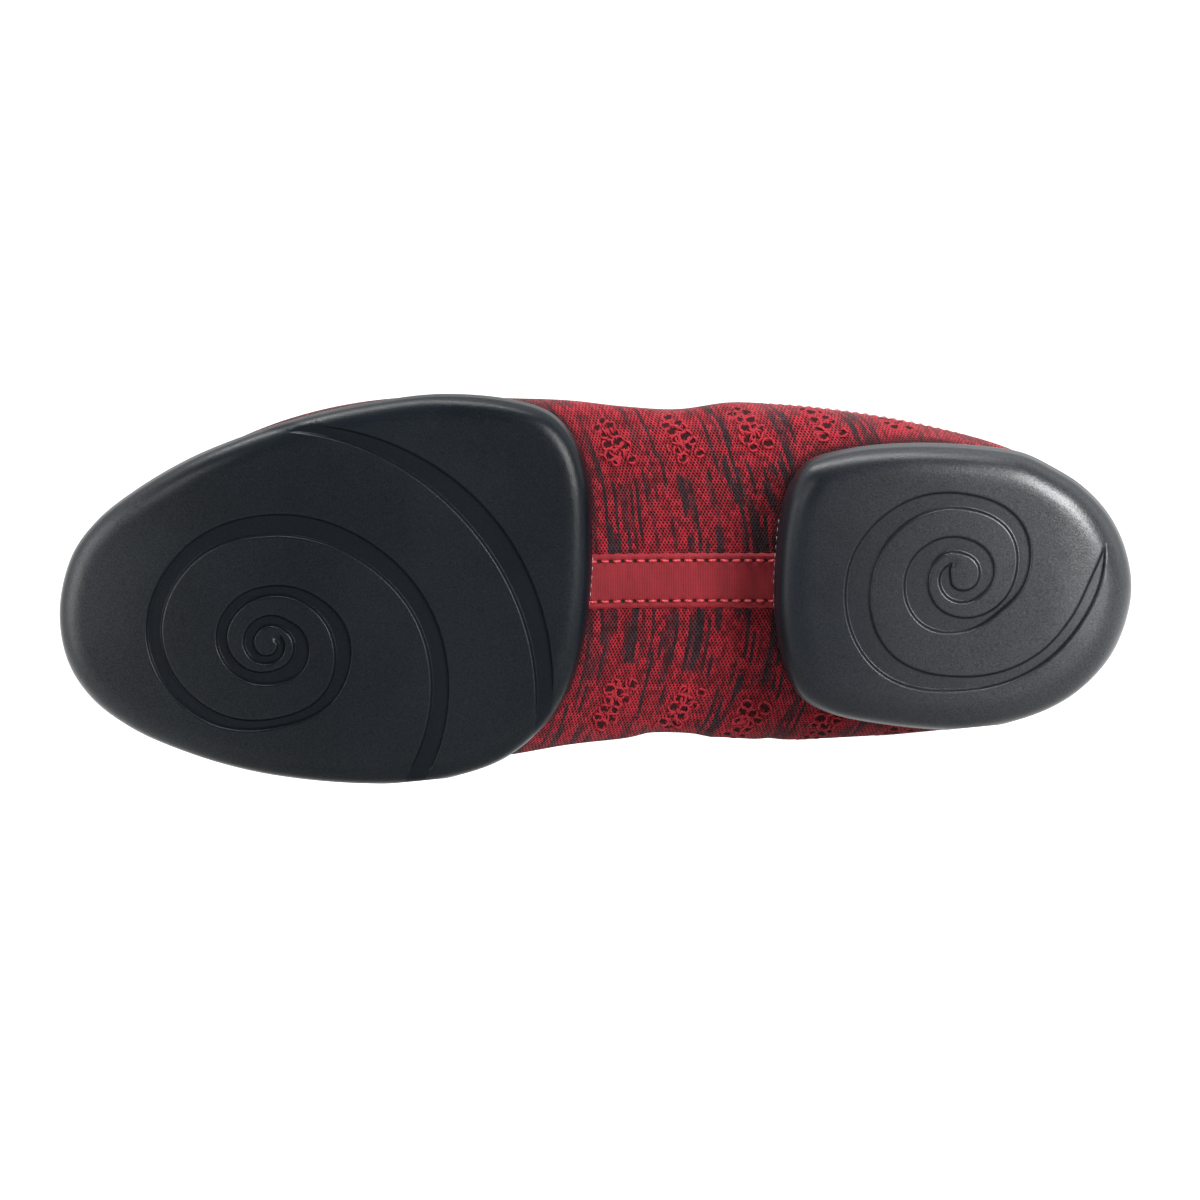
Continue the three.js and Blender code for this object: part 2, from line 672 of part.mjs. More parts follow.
// The direction that points down when the shoe rests on its inner side: the normal of the face of its
// convex hull that faces furthest inwards and has the centre of mass over it.
function restingDown() {
  const { centre, corners } = massAndCorners();
  const innerSide = new THREE.Vector3(0, -1, 0);
  let best = null;
  for (const face of new ConvexHull().setFromPoints(corners).faces) {
    const [a, b, c] = [face.edge.tail().point, face.edge.head().point, face.edge.next.head().point];
    const foot = new THREE.Vector3();
    new THREE.Plane(face.normal, -face.constant).projectPoint(centre, foot);
    const stable = new THREE.Triangle(a, b, c).containsPoint(foot);
    const further = !best || face.normal.dot(innerSide) > best.dot(innerSide);
    if (stable && further) best = face.normal.clone();
  }
  return best;
}

const shoe = new THREE.Group();
for (const piece of pieces) {
  const mesh = new THREE.Mesh(toGeometry(piece.solid), new THREE.MeshStandardMaterial(piece.finish));
  mesh.name = piece.name;
  shoe.add(mesh);
}

// Down is turned to -Z, and then the toe to -X, so that the soles face -Y.
const layDown = new THREE.Quaternion().setFromUnitVectors(restingDown(), new THREE.Vector3(0, 0, -1));
const toe = new THREE.Vector3(1, 0, 0).applyQuaternion(layDown);
const turnToe = new THREE.Quaternion().setFromAxisAngle(
  new THREE.Vector3(0, 0, 1), Math.PI - Math.atan2(toe.y, toe.x));
shoe.quaternion.copy(turnToe).multiply(layDown);

const sneaker = new THREE.Group();
sneaker.add(shoe);
sneaker.updateMatrixWorld(true);
const box = new THREE.Box3().setFromObject(sneaker, true);
const centre = box.getCenter(new THREE.Vector3());
shoe.position.set(-centre.x, -centre.y, -box.min.z);

export default sneaker;
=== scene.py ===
import json
import math

import bmesh
import bpy
import numpy as np
from mathutils import Matrix, Vector
from mathutils.geometry import delaunay_2d_cdt


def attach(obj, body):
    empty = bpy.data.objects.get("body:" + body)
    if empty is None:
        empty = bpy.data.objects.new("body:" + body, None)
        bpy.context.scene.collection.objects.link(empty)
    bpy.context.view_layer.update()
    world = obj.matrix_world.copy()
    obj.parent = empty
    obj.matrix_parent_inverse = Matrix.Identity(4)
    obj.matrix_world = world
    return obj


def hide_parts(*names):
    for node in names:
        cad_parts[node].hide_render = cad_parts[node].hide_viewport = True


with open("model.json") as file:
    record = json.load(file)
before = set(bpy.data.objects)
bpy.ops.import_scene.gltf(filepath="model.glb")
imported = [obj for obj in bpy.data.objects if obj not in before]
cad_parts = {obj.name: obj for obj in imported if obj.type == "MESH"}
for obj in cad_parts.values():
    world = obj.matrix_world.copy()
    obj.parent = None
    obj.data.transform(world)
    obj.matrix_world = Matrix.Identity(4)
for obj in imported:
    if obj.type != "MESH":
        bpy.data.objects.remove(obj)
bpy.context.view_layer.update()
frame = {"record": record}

# Sizes of the shoe in millimetres, standing on its tread: x from the back of the heel to the toe, y to the
# outer side, z up. They repeat the sizes of the solid model.
SOLE_LENGTH = 260.0
BALL_WIDTH = 93.7
HEEL_WIDTH = 68.4
WAIST_WIDTH = 80.0
HEEL_BED = 20.0
BALL_BED = 11.0
ARCH_BED = 23.0
TOE_SPRING = 13.0
ANKLE_HEIGHT = 112.0
UPPER_LENGTH = 251.0
HEEL_TUCK = 3.5
KNIT_WALL = 2.2
BAND_HEIGHT = 12.0
FOREFOOT_LENGTH = 129.3
HEEL_LENGTH = 85.9
FOREFOOT_ROLL = 5.5
HEEL_ROLL = 8.0
GROOVE_DEPTH = 1.0
TAPE_WIDTH = 13.4
TAPE_UNDER_PAD = 7.0
FIT = 0.3
INSOLE_THICKNESS = 3.5

# Sections of the last by region, with the bed height and the width that the region's shares belong to.
# Columns: at, low, high, outer, inner, wide, under, over
SECTION_COLUMNS = ("at", "low", "high", "outer", "inner", "wide", "under", "over")
LAST_REGIONS = [
    (HEEL_BED, HEEL_WIDTH, [
        (0.0, 2.5, 0.59, 0.17, 0.19, 0.5, 2, 2),
        (0.004, 1.95, 0.72, 0.35, 0.39, 0.46, 2, 2.1),
        (0.016, 1.35, 0.83, 0.53, 0.6, 0.36, 2.1, 2.2),
        (0.04, 1.07, 0.89, 0.7, 0.79, 0.29, 2.2, 2.3),
        (0.08, 1.0, 0.93, 0.875, 0.965, 0.245, 2.4, 2.3),
        (0.12, 1.0, 0.955, 0.985, 1.065, 0.22, 2.4, 2.3),
        (0.17, 1.0, 0.98, 1.075, 1.125, 0.2, 2.4, 2.3),
        (0.22, 1.01, 0.995, 1.145, 1.15, 0.18, 2.4, 2.3),
        (0.27, 1.06, 1.0, 1.2, 1.17, 0.16, 2.4, 2.3),
    ]),
    (ARCH_BED, WAIST_WIDTH, [
        (0.32, 0.96, 0.99, 1.06, 1.01, 0.145, 2.4, 2.3),
        (0.37, 1.0, 0.97, 1.075, 0.995, 0.13, 2.3, 2.3),
        (0.422, 0.99, 0.94, 1.035, 0.96, 0.115, 2.3, 2.3),
        (0.475, 0.9, 0.89, 1.055, 0.99, 0.115, 2.4, 2.3),
    ]),
    (BALL_BED, BALL_WIDTH, [
        (0.53, 1.5, 0.825, 0.935, 0.872, 0.145, 2.7, 2.3),
        (0.59, 1.17, 0.75, 0.948, 0.92, 0.18, 3.3, 2.3),
        (0.66, 1.0, 0.675, 0.96, 0.95, 0.215, 4, 2.3),
        (0.735, 1.02, 0.602, 0.925, 0.945, 0.25, 4, 2.4),
        (0.805, 1.14, 0.545, 0.835, 0.905, 0.28, 3.8, 2.5),
        (0.87, 1.34, 0.495, 0.69, 0.835, 0.33, 3.4, 2.5),
        (0.925, 1.65, 0.445, 0.515, 0.715, 0.39, 3, 2.4),
        (0.965, 2.0, 0.395, 0.33, 0.565, 0.44, 2.6, 2.2),
        (0.99, 2.38, 0.35, 0.14, 0.375, 0.48, 2.2, 2),
        (1.0, 2.75, 0.315, 0.0, 0.2, 0.5, 2, 2),
    ]),
]

# Outlines of the pads at their widest level: along, across
FOREFOOT_OUTLINE = [
    (0.0, 0.25), (0.006, 0.54), (0.03, 0.74), (0.075, 0.88), (0.15, 0.95), (0.28, 0.978), (0.4, 0.94),
    (0.52, 0.872), (0.636, 0.772), (0.75, 0.643), (0.85, 0.482), (0.925, 0.32), (0.975, 0.135), (1.0, -0.15),
    (0.985, -0.41), (0.94, -0.595), (0.86, -0.748), (0.75, -0.87), (0.63, -0.957), (0.5, -1.007),
    (0.38, -1.018), (0.27, -0.99), (0.17, -0.9), (0.1, -0.755), (0.05, -0.57), (0.018, -0.32), (0.003, -0.02),
]
HEEL_OUTLINE = [
    (1.0, -0.03), (0.983, 0.48), (0.957, 0.7), (0.909, 0.86), (0.8, 0.945), (0.636, 0.985), (0.45, 0.97),
    (0.312, 0.92), (0.227, 0.822), (0.141, 0.684), (0.066, 0.485), (0.018, 0.24), (0.0, -0.05),
    (0.028, -0.36), (0.08, -0.58), (0.18, -0.8), (0.308, -0.942), (0.48, -1.015), (0.7, -0.975),
    (0.85, -0.895), (0.93, -0.78), (0.972, -0.575), (0.994, -0.3),
]
# Height of the lip as a share of the bed height: along, height
FOREFOOT_LIP = [(0.0, 2.05), (0.17, 1.85), (0.35, 1.68), (0.6, 1.85), (0.82, 2.4), (1.0, 2.95)]
HEEL_LIP = [(0.0, 1.75), (0.18, 1.5), (0.5, 1.32), (1.0, 1.38)]
TOE_ROLL_SHARE = 0.6
BACK_ROLL_SHARE = 0.25
BACK_ROLL = 2.5
# The collar's edge from the side: at, height
COLLAR_EDGE = [(-0.06, 0.765), (0.02, 0.75), (0.11, 0.68), (0.22, 0.62), (0.33, 0.635), (0.42, 0.72),
               (0.475, 0.83), (0.5, 0.96), (0.51, 1.1)]
# Spiral grooves: turn in degrees, reach and width as shares of half the pad's width
FOREFOOT_SPIRAL = (0.592, -0.271, 1, [
    (-45, 1.027, 0.102), (0, 0.826, 0.098), (45, 0.654, 0.113), (90, 0.589, 0.115), (135, 0.609, 0.092),
    (180, 0.612, 0.088), (225, 0.522, 0.075), (270, 0.431, 0.055), (315, 0.41, 0.068),
    (360, 0.354, 0.094), (405, 0.285, 0.07), (450, 0.252, 0.06), (495, 0.255, 0.062),
    (540, 0.261, 0.062), (585, 0.232, 0.066), (630, 0.195, 0.075), (675, 0.177, 0.09),
    (720, 0.14, 0.079), (765, 0.104, 0.062), (810, 0.099, 0.062), (855, 0.107, 0.06),
    (900, 0.121, 0.062), (945, 0.122, 0.055), (990, 0.097, 0.049), (1035, 0.062, 0.047),
    (1080, 0.034, 0.043),
])
HEEL_SPIRAL = (0.476, 0.082, -1, [
    (-12, 1.01, 0.02), (0, 0.936, 0.082), (22, 0.848, 0.094), (45, 0.8, 0.091), (90, 0.763, 0.111),
    (135, 0.83, 0.164), (180, 0.738, 0.184), (225, 0.61, 0.149), (270, 0.52, 0.117),
    (315, 0.491, 0.117), (360, 0.398, 0.094), (405, 0.335, 0.056), (450, 0.346, 0.108),
    (495, 0.374, 0.181), (540, 0.333, 0.175), (585, 0.269, 0.129), (630, 0.206, 0.12),
    (675, 0.177, 0.12), (720, 0.154, 0.114), (765, 0.143, 0.094), (810, 0.149, 0.099),
    (855, 0.154, 0.096), (900, 0.136, 0.085), (935, 0.123, 0.03),
])
# The sweeping groove: along, across, width. It runs on past both ends by the overrun in millimetres
SWEEP_GROOVE = [(0.581, 0.82, 0.05), (0.235, 0.43, 0.13), (0.09, -0.72, 0.09)]
SWEEP_OVERRUN = 6.0


def unit(vectors):
    return vectors / np.linalg.norm(vectors, axis=-1, keepdims=True)


def ease(s):
    """Shares from 0 to 1 with soft ends."""
    return s * s * (3 - 2 * s)


def run_along(points):
    """Length along a line up to each of its points."""
    return np.concatenate([[0], np.cumsum(np.linalg.norm(np.diff(points, axis=0), axis=1))])


def at_run(points, run, at):
    """Points at given lengths along a line."""
    return np.stack([np.interp(at, run, points[:, k]) for k in range(points.shape[1])], -1)


# Places of the two flats of the tread in the shoe's millimetres
HEEL_FLAT = np.array([75.5, 12.0, 0.0])
FOREFOOT_FLAT = np.array([156.0, -8.0, 0.0])


def shoe_axes():
    """The turn and the origin of the shoe's axes in the frame, from the two flats of the tread."""
    mounts = {m["name"]: m for m in frame["record"]["mounts"]}
    heel, fore = (np.array(mounts[n]["pos_m"]) for n in ("tread_heel", "tread_forefoot"))
    up = unit(-np.array(mounts["tread_heel"]["axis"]))
    ahead = unit((fore - heel) - up * np.dot(fore - heel, up))
    ahead_mm = unit(FOREFOOT_FLAT - HEEL_FLAT)
    across, across_mm = np.cross(up, ahead), np.cross([0, 0, 1], ahead_mm)
    turn = np.outer(ahead, ahead_mm) + np.outer(across, across_mm) + np.outer(up, [0, 0, 1])
    return turn, heel - turn @ HEEL_FLAT / 1000


TURN, ORIGIN = shoe_axes()


def to_row(points):
    """Points in the frame's metres, from the shoe's millimetres."""
    return np.asarray(points, float) @ TURN.T / 1000 + ORIGIN


def smooth(values, t):
    """A smooth curve through evenly spaced values, at shares t of its length."""
    values = np.asarray(values, float)
    place = np.clip(t, 0, 1) * (len(values) - 1)
    i = np.minimum(np.floor(place).astype(int), len(values) - 2)
    f = place - i
    p0, p1, p2, p3 = (values[np.clip(i + k, 0, len(values) - 1)] for k in (-1, 0, 1, 2))
    return p1 + 0.5 * f * (p2 - p0 + f * (2 * p0 - 5 * p1 + 4 * p2 - p3 + f * (3 * (p1 - p2) + p3 - p0)))


def between(rows, place):
    """Values eased between the rows of a table of places and values."""
    xs, ys = np.array(rows).T
    k = np.clip(np.searchsorted(xs, place), 1, len(xs) - 1)
    s = np.clip((place - xs[k - 1]) / (xs[k] - xs[k - 1]), 0, 1)
    return ys[k - 1] + (ys[k] - ys[k - 1]) * ease(s)


# The last

def last_row(bed, width, row):
    """One section of the last in millimetres."""
    s = dict(zip(SECTION_COLUMNS, row))
    low, high = s["low"] * bed, s["high"] * ANKLE_HEIGHT
    return {"x": HEEL_TUCK + s["at"] * UPPER_LENGTH, "low": low, "high": high,
            "outer": s["outer"] * width / 2, "inner": s["inner"] * width / 2,
            "level": low + (high - low) * s["wide"], "under": s["under"], "over": s["over"]}


SECTIONS = [last_row(bed, width, row) for bed, width, table in LAST_REGIONS for row in table]
LAST = {key: [s[key] for s in SECTIONS] for key in SECTIONS[0]}


def section(t):
    return {k: smooth(v, t) for k, v in LAST.items()}


def last_point(t, turn):
    s = section(t)
    c, d = np.cos(turn), np.sin(turn)
    power = 2 / np.where(d > 0, s["over"], s["under"])
    half = np.where(c > 0, s["outer"], s["inner"])
    reach = np.where(d > 0, s["high"] - s["level"], s["level"] - s["low"])
    return np.stack([
        s["x"] + 0 * c,
        np.sign(c) * half * np.abs(c) ** power,
        s["level"] + np.sign(d) * reach * np.abs(d) ** power,
    ], -1)


def last_normal(t, turn):
    along = last_point(np.minimum(t + 0.004, 1), turn) - last_point(np.maximum(t - 0.004, 0), turn)
    around = last_point(t, turn + 0.06) - last_point(t, turn - 0.06)
    return unit(np.cross(around, along))


T_FINE = np.linspace(0, 1, 4001)
X_FINE = smooth(LAST["x"], T_FINE)


def t_at(x):
    return np.interp(x, X_FINE, T_FINE)


def underside(x, y):
    """Height of the knit's outer face over the tread at a place, or a large number beside it."""
    s = section(t_at(x))
    half = np.where(y > 0, s["outer"], s["inner"])
    share = np.clip(np.abs(y) / np.maximum(half, 1e-6), 0, 1)
    z = s["level"] - (s["level"] - s["low"]) * (1 - share ** s["under"]) ** (1 / s["under"])
    beyond = (np.abs(y) >= half) | (x < LAST["x"][0]) | (x > LAST["x"][-1])
    return np.where(beyond, 1e3, z)


def collar_line():
    """The collar's edge seen from the side, and the direction over it at each of its points."""
    edge = np.array([(HEEL_TUCK + a * UPPER_LENGTH, h * ANKLE_HEIGHT) for a, h in COLLAR_EDGE])
    t = np.linspace(0, 1, 320)
    p = np.stack([smooth(edge[:, 0], t), smooth(edge[:, 1], t)], -1)
    d = unit(np.gradient(p, axis=0))
    return p, np.stack([-d[:, 1], d[:, 0]], -1)


LINE, LINE_UP = collar_line()
# The collar's edge lies behind and over these places. Elsewhere a point counts as far under it
COLLAR_REACH = 155.0
COLLAR_LOW = 40.0
FAR_UNDER = -60.0


def over_collar(points):
    """Distance of points over the collar's edge, seen from the side. Far under it, a large negative one."""
    out = np.full(len(points), FAR_UNDER)
    near = np.nonzero((points[:, 0] < COLLAR_REACH) & (points[:, 2] > COLLAR_LOW))[0]
    for i in range(0, len(near), 8000):
        pick = near[i:i + 8000]
        d = points[pick][:, None, [0, 2]] - LINE[None]
        k = np.argmin(d[..., 0] ** 2 + d[..., 1] ** 2, 1)
        out[pick] = (d[np.arange(len(pick)), k] * LINE_UP[k]).sum(-1)
    return out


# Meshes

def make_object(name, points, faces, mat, uv=None, extra=None, weld=False):
    """An object from points in the shoe's millimetres. uv is one pair of millimetres a point."""
    mesh = bpy.data.meshes.new(name)
    mesh.from_pydata([tuple(p) for p in to_row(points)], [], [tuple(int(i) for i in f) for f in faces])
    mesh.update()
    if uv is not None:
        layer = mesh.uv_layers.new(name="UVMap")
        loops = np.empty(len(mesh.loops), np.int32)
        mesh.loops.foreach_get("vertex_index", loops)
        layer.data.foreach_set("uv", np.asarray(uv, np.float32)[loops].ravel())
    for key, values in (extra or {}).items():
        a = mesh.attributes.new(key, "FLOAT", "POINT")
        a.data.foreach_set("value", np.asarray(values, np.float32))
    if weld:
        whole = bmesh.new()
        whole.from_mesh(mesh)
        bmesh.ops.remove_doubles(whole, verts=whole.verts, dist=2e-6)
        whole.to_mesh(mesh)
        whole.free()
    mesh.polygons.foreach_set("use_smooth", [True] * len(mesh.polygons))
    mesh.materials.append(mat)
    ob = bpy.data.objects.new(name, mesh)
    bpy.context.scene.collection.objects.link(ob)
    return ob


def grid_faces(rows_n, cols_n, closed, flip=False):
    i, j = np.meshgrid(np.arange(rows_n - 1), np.arange(cols_n if closed else cols_n - 1), indexing="ij")
    k = (j + 1) % cols_n
    quads = np.stack([i * cols_n + j, i * cols_n + k, (i + 1) * cols_n + k, (i + 1) * cols_n + j], -1)
    quads = quads.reshape(-1, 4)
    return quads[:, ::-1] if flip else quads


def keep_below(points, faces, values, uvs):
    """Cuts a mesh of triangles and quads where values pass zero, and keeps the part below zero."""
    tris = np.array([(f[0], f[k], f[k + 1]) for f in faces for k in range(1, len(f) - 1)])
    low = values[tris] < 0
    points, uvs = list(points), list(uvs)
    made, cut = {}, []

    def mark(a, b):
        key = (min(a, b), max(a, b))
        if key not in made:
            s = values[a] / (values[a] - values[b])
            made[key] = len(points)
            for held in (points, uvs):
                held.append(held[a] + (held[b] - held[a]) * s)
        return made[key]

    for tri in tris[low.any(1) & ~low.all(1)]:
        poly = []
        for a, b in zip(tri, np.roll(tri, -1)):
            if values[a] < 0:
                poly.append(a)
            if (values[a] < 0) != (values[b] < 0):
                poly.append(mark(a, b))
        cut.append(poly)
    faces = [tuple(f) for f in tris[low.all(1)]] + cut
    used = sorted({i for f in faces for i in f})
    place = {v: k for k, v in enumerate(used)}
    faces = [[place[i] for i in f] for f in faces]
    return np.array([points[i] for i in used]), faces, np.array([uvs[i] for i in used])


# Materials

def nodes_of(name):
    """A new material, short names for its nodes, and its shader."""
    mat = bpy.data.materials.new(name)
    mat.use_nodes = True
    return mat, Net(mat.node_tree), mat.node_tree.nodes["Principled BSDF"]


class Value:
    """An output of one material's nodes. Arithmetic on it adds nodes."""

    def __init__(self, net, socket):
        self.net, self.socket = net, socket

    def __add__(self, other):
        return self.net.math("ADD", self, other)

    def __sub__(self, other):
        return self.net.math("SUBTRACT", self, other)

    def __rsub__(self, other):
        return self.net.math("SUBTRACT", other, self)

    def __mul__(self, other):
        return self.net.math("MULTIPLY", self, other)

    def __truediv__(self, other):
        return self.net.math("DIVIDE", self, other)

    def __pow__(self, other):
        return self.net.math("POWER", self, other)

    def __abs__(self):
        return self.net.math("ABSOLUTE", self)

    def floor(self):
        return self.net.math("FLOOR", self)

    def sine(self):
        return self.net.math("SINE", self)

    def off_middle(self):
        """Distance from the middle of a cell that repeats at each whole number: 0 there, 0.5 at its ends."""
        return abs(self.net.math("FRACT", self) - 0.5)


class Net:
    """Short names for the nodes of one material or world."""

    def __init__(self, tree):
        self.tree = tree

    def add(self, kind, **settings):
        node = self.tree.nodes.new(kind)
        for k, v in settings.items():
            setattr(node, k, v)
        return node

    def link(self, value, socket):
        self.tree.links.new(value.socket, socket)

    def make(self, node, output, *values):
        """An output of a node, once values are put on its first inputs."""
        for socket, value in zip(node.inputs, values):
            self.put(socket, value)
        return Value(self, node.outputs[output])

    def put(self, socket, value):
        if isinstance(value, Value):
            self.link(value, socket)
        else:
            socket.default_value = value

    def math(self, op, a, b=0.0, clamp=False):
        return self.make(self.add("ShaderNodeMath", operation=op, use_clamp=clamp), 0, a, b)

    def ramp(self, value, low, high, to_low=0.0, to_high=1.0, soft=True):
        node = self.add("ShaderNodeMapRange", interpolation_type="SMOOTHSTEP" if soft else "LINEAR")
        return self.make(node, 0, value, low, high, to_low, to_high)

    def mix(self, share, a, b, blend="MIX"):
        node = self.add("ShaderNodeMix", data_type="RGBA", blend_type=blend)
        for k, value in ((0, share), (6, a), (7, b)):
            self.put(node.inputs[k], value)
        return Value(self, node.outputs[2])

    def shade(self, colour, tone):
        """A colour made lighter or darker by a factor."""
        return self.mix(1.0, colour, self.combine(tone, tone, tone), "MULTIPLY")

    def noise(self, vector, scale, detail=2.0, roughness=0.5):
        node = self.add("ShaderNodeTexNoise", noise_dimensions="3D")
        values = {"Vector": vector, "Scale": scale, "Detail": detail, "Roughness": roughness}
        for key, value in values.items():
            self.put(node.inputs[key], value)
        return Value(self, node.outputs[0])

    def white(self, x, y, seed):
        """A chance from 0 to 1 for each pair of whole numbers."""
        node = self.add("ShaderNodeTexWhiteNoise", noise_dimensions="3D")
        self.put(node.inputs["Vector"], self.combine(x, y, seed))
        return Value(self, node.outputs["Value"])

    def combine(self, x, y, z=0.0):
        return self.make(self.add("ShaderNodeCombineXYZ"), 0, x, y, z)

    def separate(self, vector):
        node = self.add("ShaderNodeSeparateXYZ")
        self.link(vector, node.inputs[0])
        return [Value(self, socket) for socket in node.outputs]

    def uv(self):
        return self.separate(Value(self, self.add("ShaderNodeUVMap", uv_map="UVMap").outputs[0]))[:2]

    def coords(self, kind="Object"):
        return Value(self, self.add("ShaderNodeTexCoord").outputs[kind])

    def share(self, name):
        """An attribute that a mesh carries."""
        return Value(self, self.add("ShaderNodeAttribute", attribute_name=name).outputs["Fac"])

    def bump(self, height, distance, strength=1.0):
        node = self.add("ShaderNodeBump")
        for key, value in (("Strength", strength), ("Distance", distance), ("Height", height)):
            self.put(node.inputs[key], value)
        return Value(self, node.outputs[0])


def srgb(r, g, b):
    def lin(v):
        v /= 255
        return v / 12.92 if v <= 0.04045 else ((v + 0.055) / 1.055) ** 2.4
    return (lin(r), lin(g), lin(b), 1.0)


# Knit: wales run round the girth. The UV map holds millimetres: U along the shoe, V round the girth from
# the middle of the arch. The wales lean towards the toe as they climb the sides.
WALE = 0.86
COURSE = 1.34
# Streaks of dark yarn. Columns: wales wide, millimetres long, seed, chance
STREAKS = [(1.0, 16.0, 1.0, 0.3), (2.0, 28.0, 5.0, 0.04), (1.0, 40.0, 8.0, 0.4)]


def notch_distance(n, across, along):
    """Distance in millimetres from a notch between the loops, darkened as painted shade, longer along the
    wale.
    """
    dx, dy = across * WALE, along * (COURSE * 0.82)
    return n.math("SQRT", dx * dx + dy * dy)


def dark_streaks(n, u, v, wale_at):
    """1 in the streaks of dark yarn, with ragged ends, and 0 beside them."""
    ragged = n.noise(n.combine(u * 1.1, v * 1.1), 1.0, 1.0) - 0.5
    wale = wale_at + ragged * 0.6
    patch = n.noise(n.combine(u * 0.045, v * 0.045, 5.0), 1.0, 1.0)
    is_dark = None
    for wide, length, seed, chance in STREAKS:
        lane_at = wale / wide
        lane = lane_at.floor()
        place = v / length + n.white(lane, seed, 0.0) * 13.0
        cell = place.floor()
        end = place.off_middle() * 2.0 + ragged * (9.0 / length) + lane_at.off_middle() * 0.35
        reach = n.ramp(n.white(lane, cell, seed + 1), 0.0, 1.0, 0.45, 1.0, False)
        limit = n.ramp(patch, 0.3, 0.7, chance * 0.7, chance * 1.3, False)
        share = n.ramp(reach - end, -0.04, 0.06) * n.math("LESS_THAN", n.white(lane, cell, seed), limit)
        share = share * n.ramp(n.white(lane, cell, seed + 2), 0.0, 0.6, 0.6, 1.0, False)
        is_dark = share if is_dark is None else n.math("MAXIMUM", is_dark, share)
    return is_dark


def knit_material(name, red, dark, gap):
    mat, n, shader = nodes_of(name)
    u, v = n.uv()
    lean = (n.math("MINIMUM", abs(v), 75.0) * (1 / 34.0)) ** 2.2 * 5.4
    wobble = n.noise(n.combine(u * 0.05, v * 0.05, 2.0), 1.0, 2.0)
    wale_at = (u - lean + wobble * 3.0) / WALE
    course_at = v / COURSE
    # Plump loops round notches darkened with painted shade. The notches lie in the middle of a wale and, half
    # a course on, beside it
    leg, row = wale_at.off_middle(), (course_at + 0.5).off_middle()
    away = n.math("MINIMUM", notch_distance(n, leg, row), notch_distance(n, 0.5 - leg, 0.5 - row))
    stitch = n.white(wale_at.floor(), (course_at + leg).floor(), 7.0)
    plump = n.ramp(away * n.ramp(stitch, 0.0, 1.0, 0.8, 1.2), 0.13, 0.33)
    is_dark = dark_streaks(n, u, v, wale_at) * n.ramp(n.share("openwork"), 0.2, 0.6, 1.0, 0.0)
    # Each stitch's own random tone, times a painted highlight on the crown of each loop
    tone_and_highlight = n.ramp(stitch, 0.0, 1.0, 0.68, 1.28, False) * n.ramp(away, 0.18, 0.4, 0.78, 1.2)
    colour = n.mix(plump, gap, n.shade(n.mix(is_dark, red, dark), tone_and_highlight))
    # Painted shade: the knit is darkened towards the gap colour beside the pads' rims, where it goes in under
    # them
    n.link(n.mix(n.share("contact_shade") * 0.85, colour, gap), shader.inputs["Base Color"])
    shader.inputs["Roughness"].default_value = 0.82
    shader.inputs["Sheen Weight"].default_value = 0.1
    shader.inputs["Sheen Roughness"].default_value = 0.45
    shader.inputs["Sheen Tint"].default_value = (1.0, 0.42, 0.44, 1)
    shader.inputs["Specular IOR Level"].default_value = 0.1
    fuzz = n.noise(n.coords(), 9000.0)
    n.link(n.bump(n.ramp(away, 0.0, 0.45) + fuzz * 0.3, 0.0003, 0.9), shader.inputs["Normal"])
    return mat


def rubber_material(name, base, level, in_groove, painted_gloss_ramp):
    """Moulded rubber. level is its gloss, in_groove the share of it that the grooves keep, which darkens them
    as painted shade.
    """
    mat, n, shader = nodes_of(name)
    at = n.coords()
    cloud, fine, coarse = n.noise(at, 38.0, 3.0), n.noise(at, 2600.0, 3.0, 0.6), n.noise(at, 900.0)
    groove = n.share("groove")
    colour = n.shade(base, n.ramp(cloud, 0.3, 0.7, 0.86, 1.16))
    # The grooves' floors are darkened towards near-black as painted shade
    n.link(n.mix(groove * 0.35, colour, (0.006, 0.007, 0.009, 1)), shader.inputs["Base Color"])
    n.link(n.ramp(cloud + fine * 0.3, 0.4, 0.9, 0.3, 0.38), shader.inputs["Roughness"])
    gloss = n.ramp(fine, 0.3, 0.7, 0.6 * level, 1.4 * level, False)
    gloss = gloss * n.ramp(groove, 0.0, 1.0, 1.0, in_groove, False)
    # The gloss ramps up along the pad towards one end, as a painted highlight
    gloss = gloss * n.ramp(n.separate(at)[0], *painted_gloss_ramp, False)
    n.link(gloss, shader.inputs["Specular IOR Level"])
    n.link(n.bump(fine + coarse * 0.6, 0.00003), shader.inputs["Normal"])
    return mat


def thread_material(name, colour, roughness=0.5, gloss=0.5):
    mat, n, shader = nodes_of(name)
    wave = n.add("ShaderNodeTexWave", wave_type="BANDS", bands_direction="DIAGONAL")
    n.link(n.coords(), wave.inputs["Vector"])
    wave.inputs["Scale"].default_value = 900.0
    twist = Value(n, wave.outputs["Fac"])
    # The colour is darker in the grooves of the twist as painted shade, and a little lighter on its crowns as
    # a painted highlight
    n.link(n.shade(colour, n.ramp(twist, 0.0, 1.0, 0.75, 1.1)), shader.inputs["Base Color"])
    shader.inputs["Roughness"].default_value = roughness
    shader.inputs["Specular IOR Level"].default_value = gloss
    n.link(n.bump(twist, 0.0001, 0.6), shader.inputs["Normal"])
    return mat


# Pads

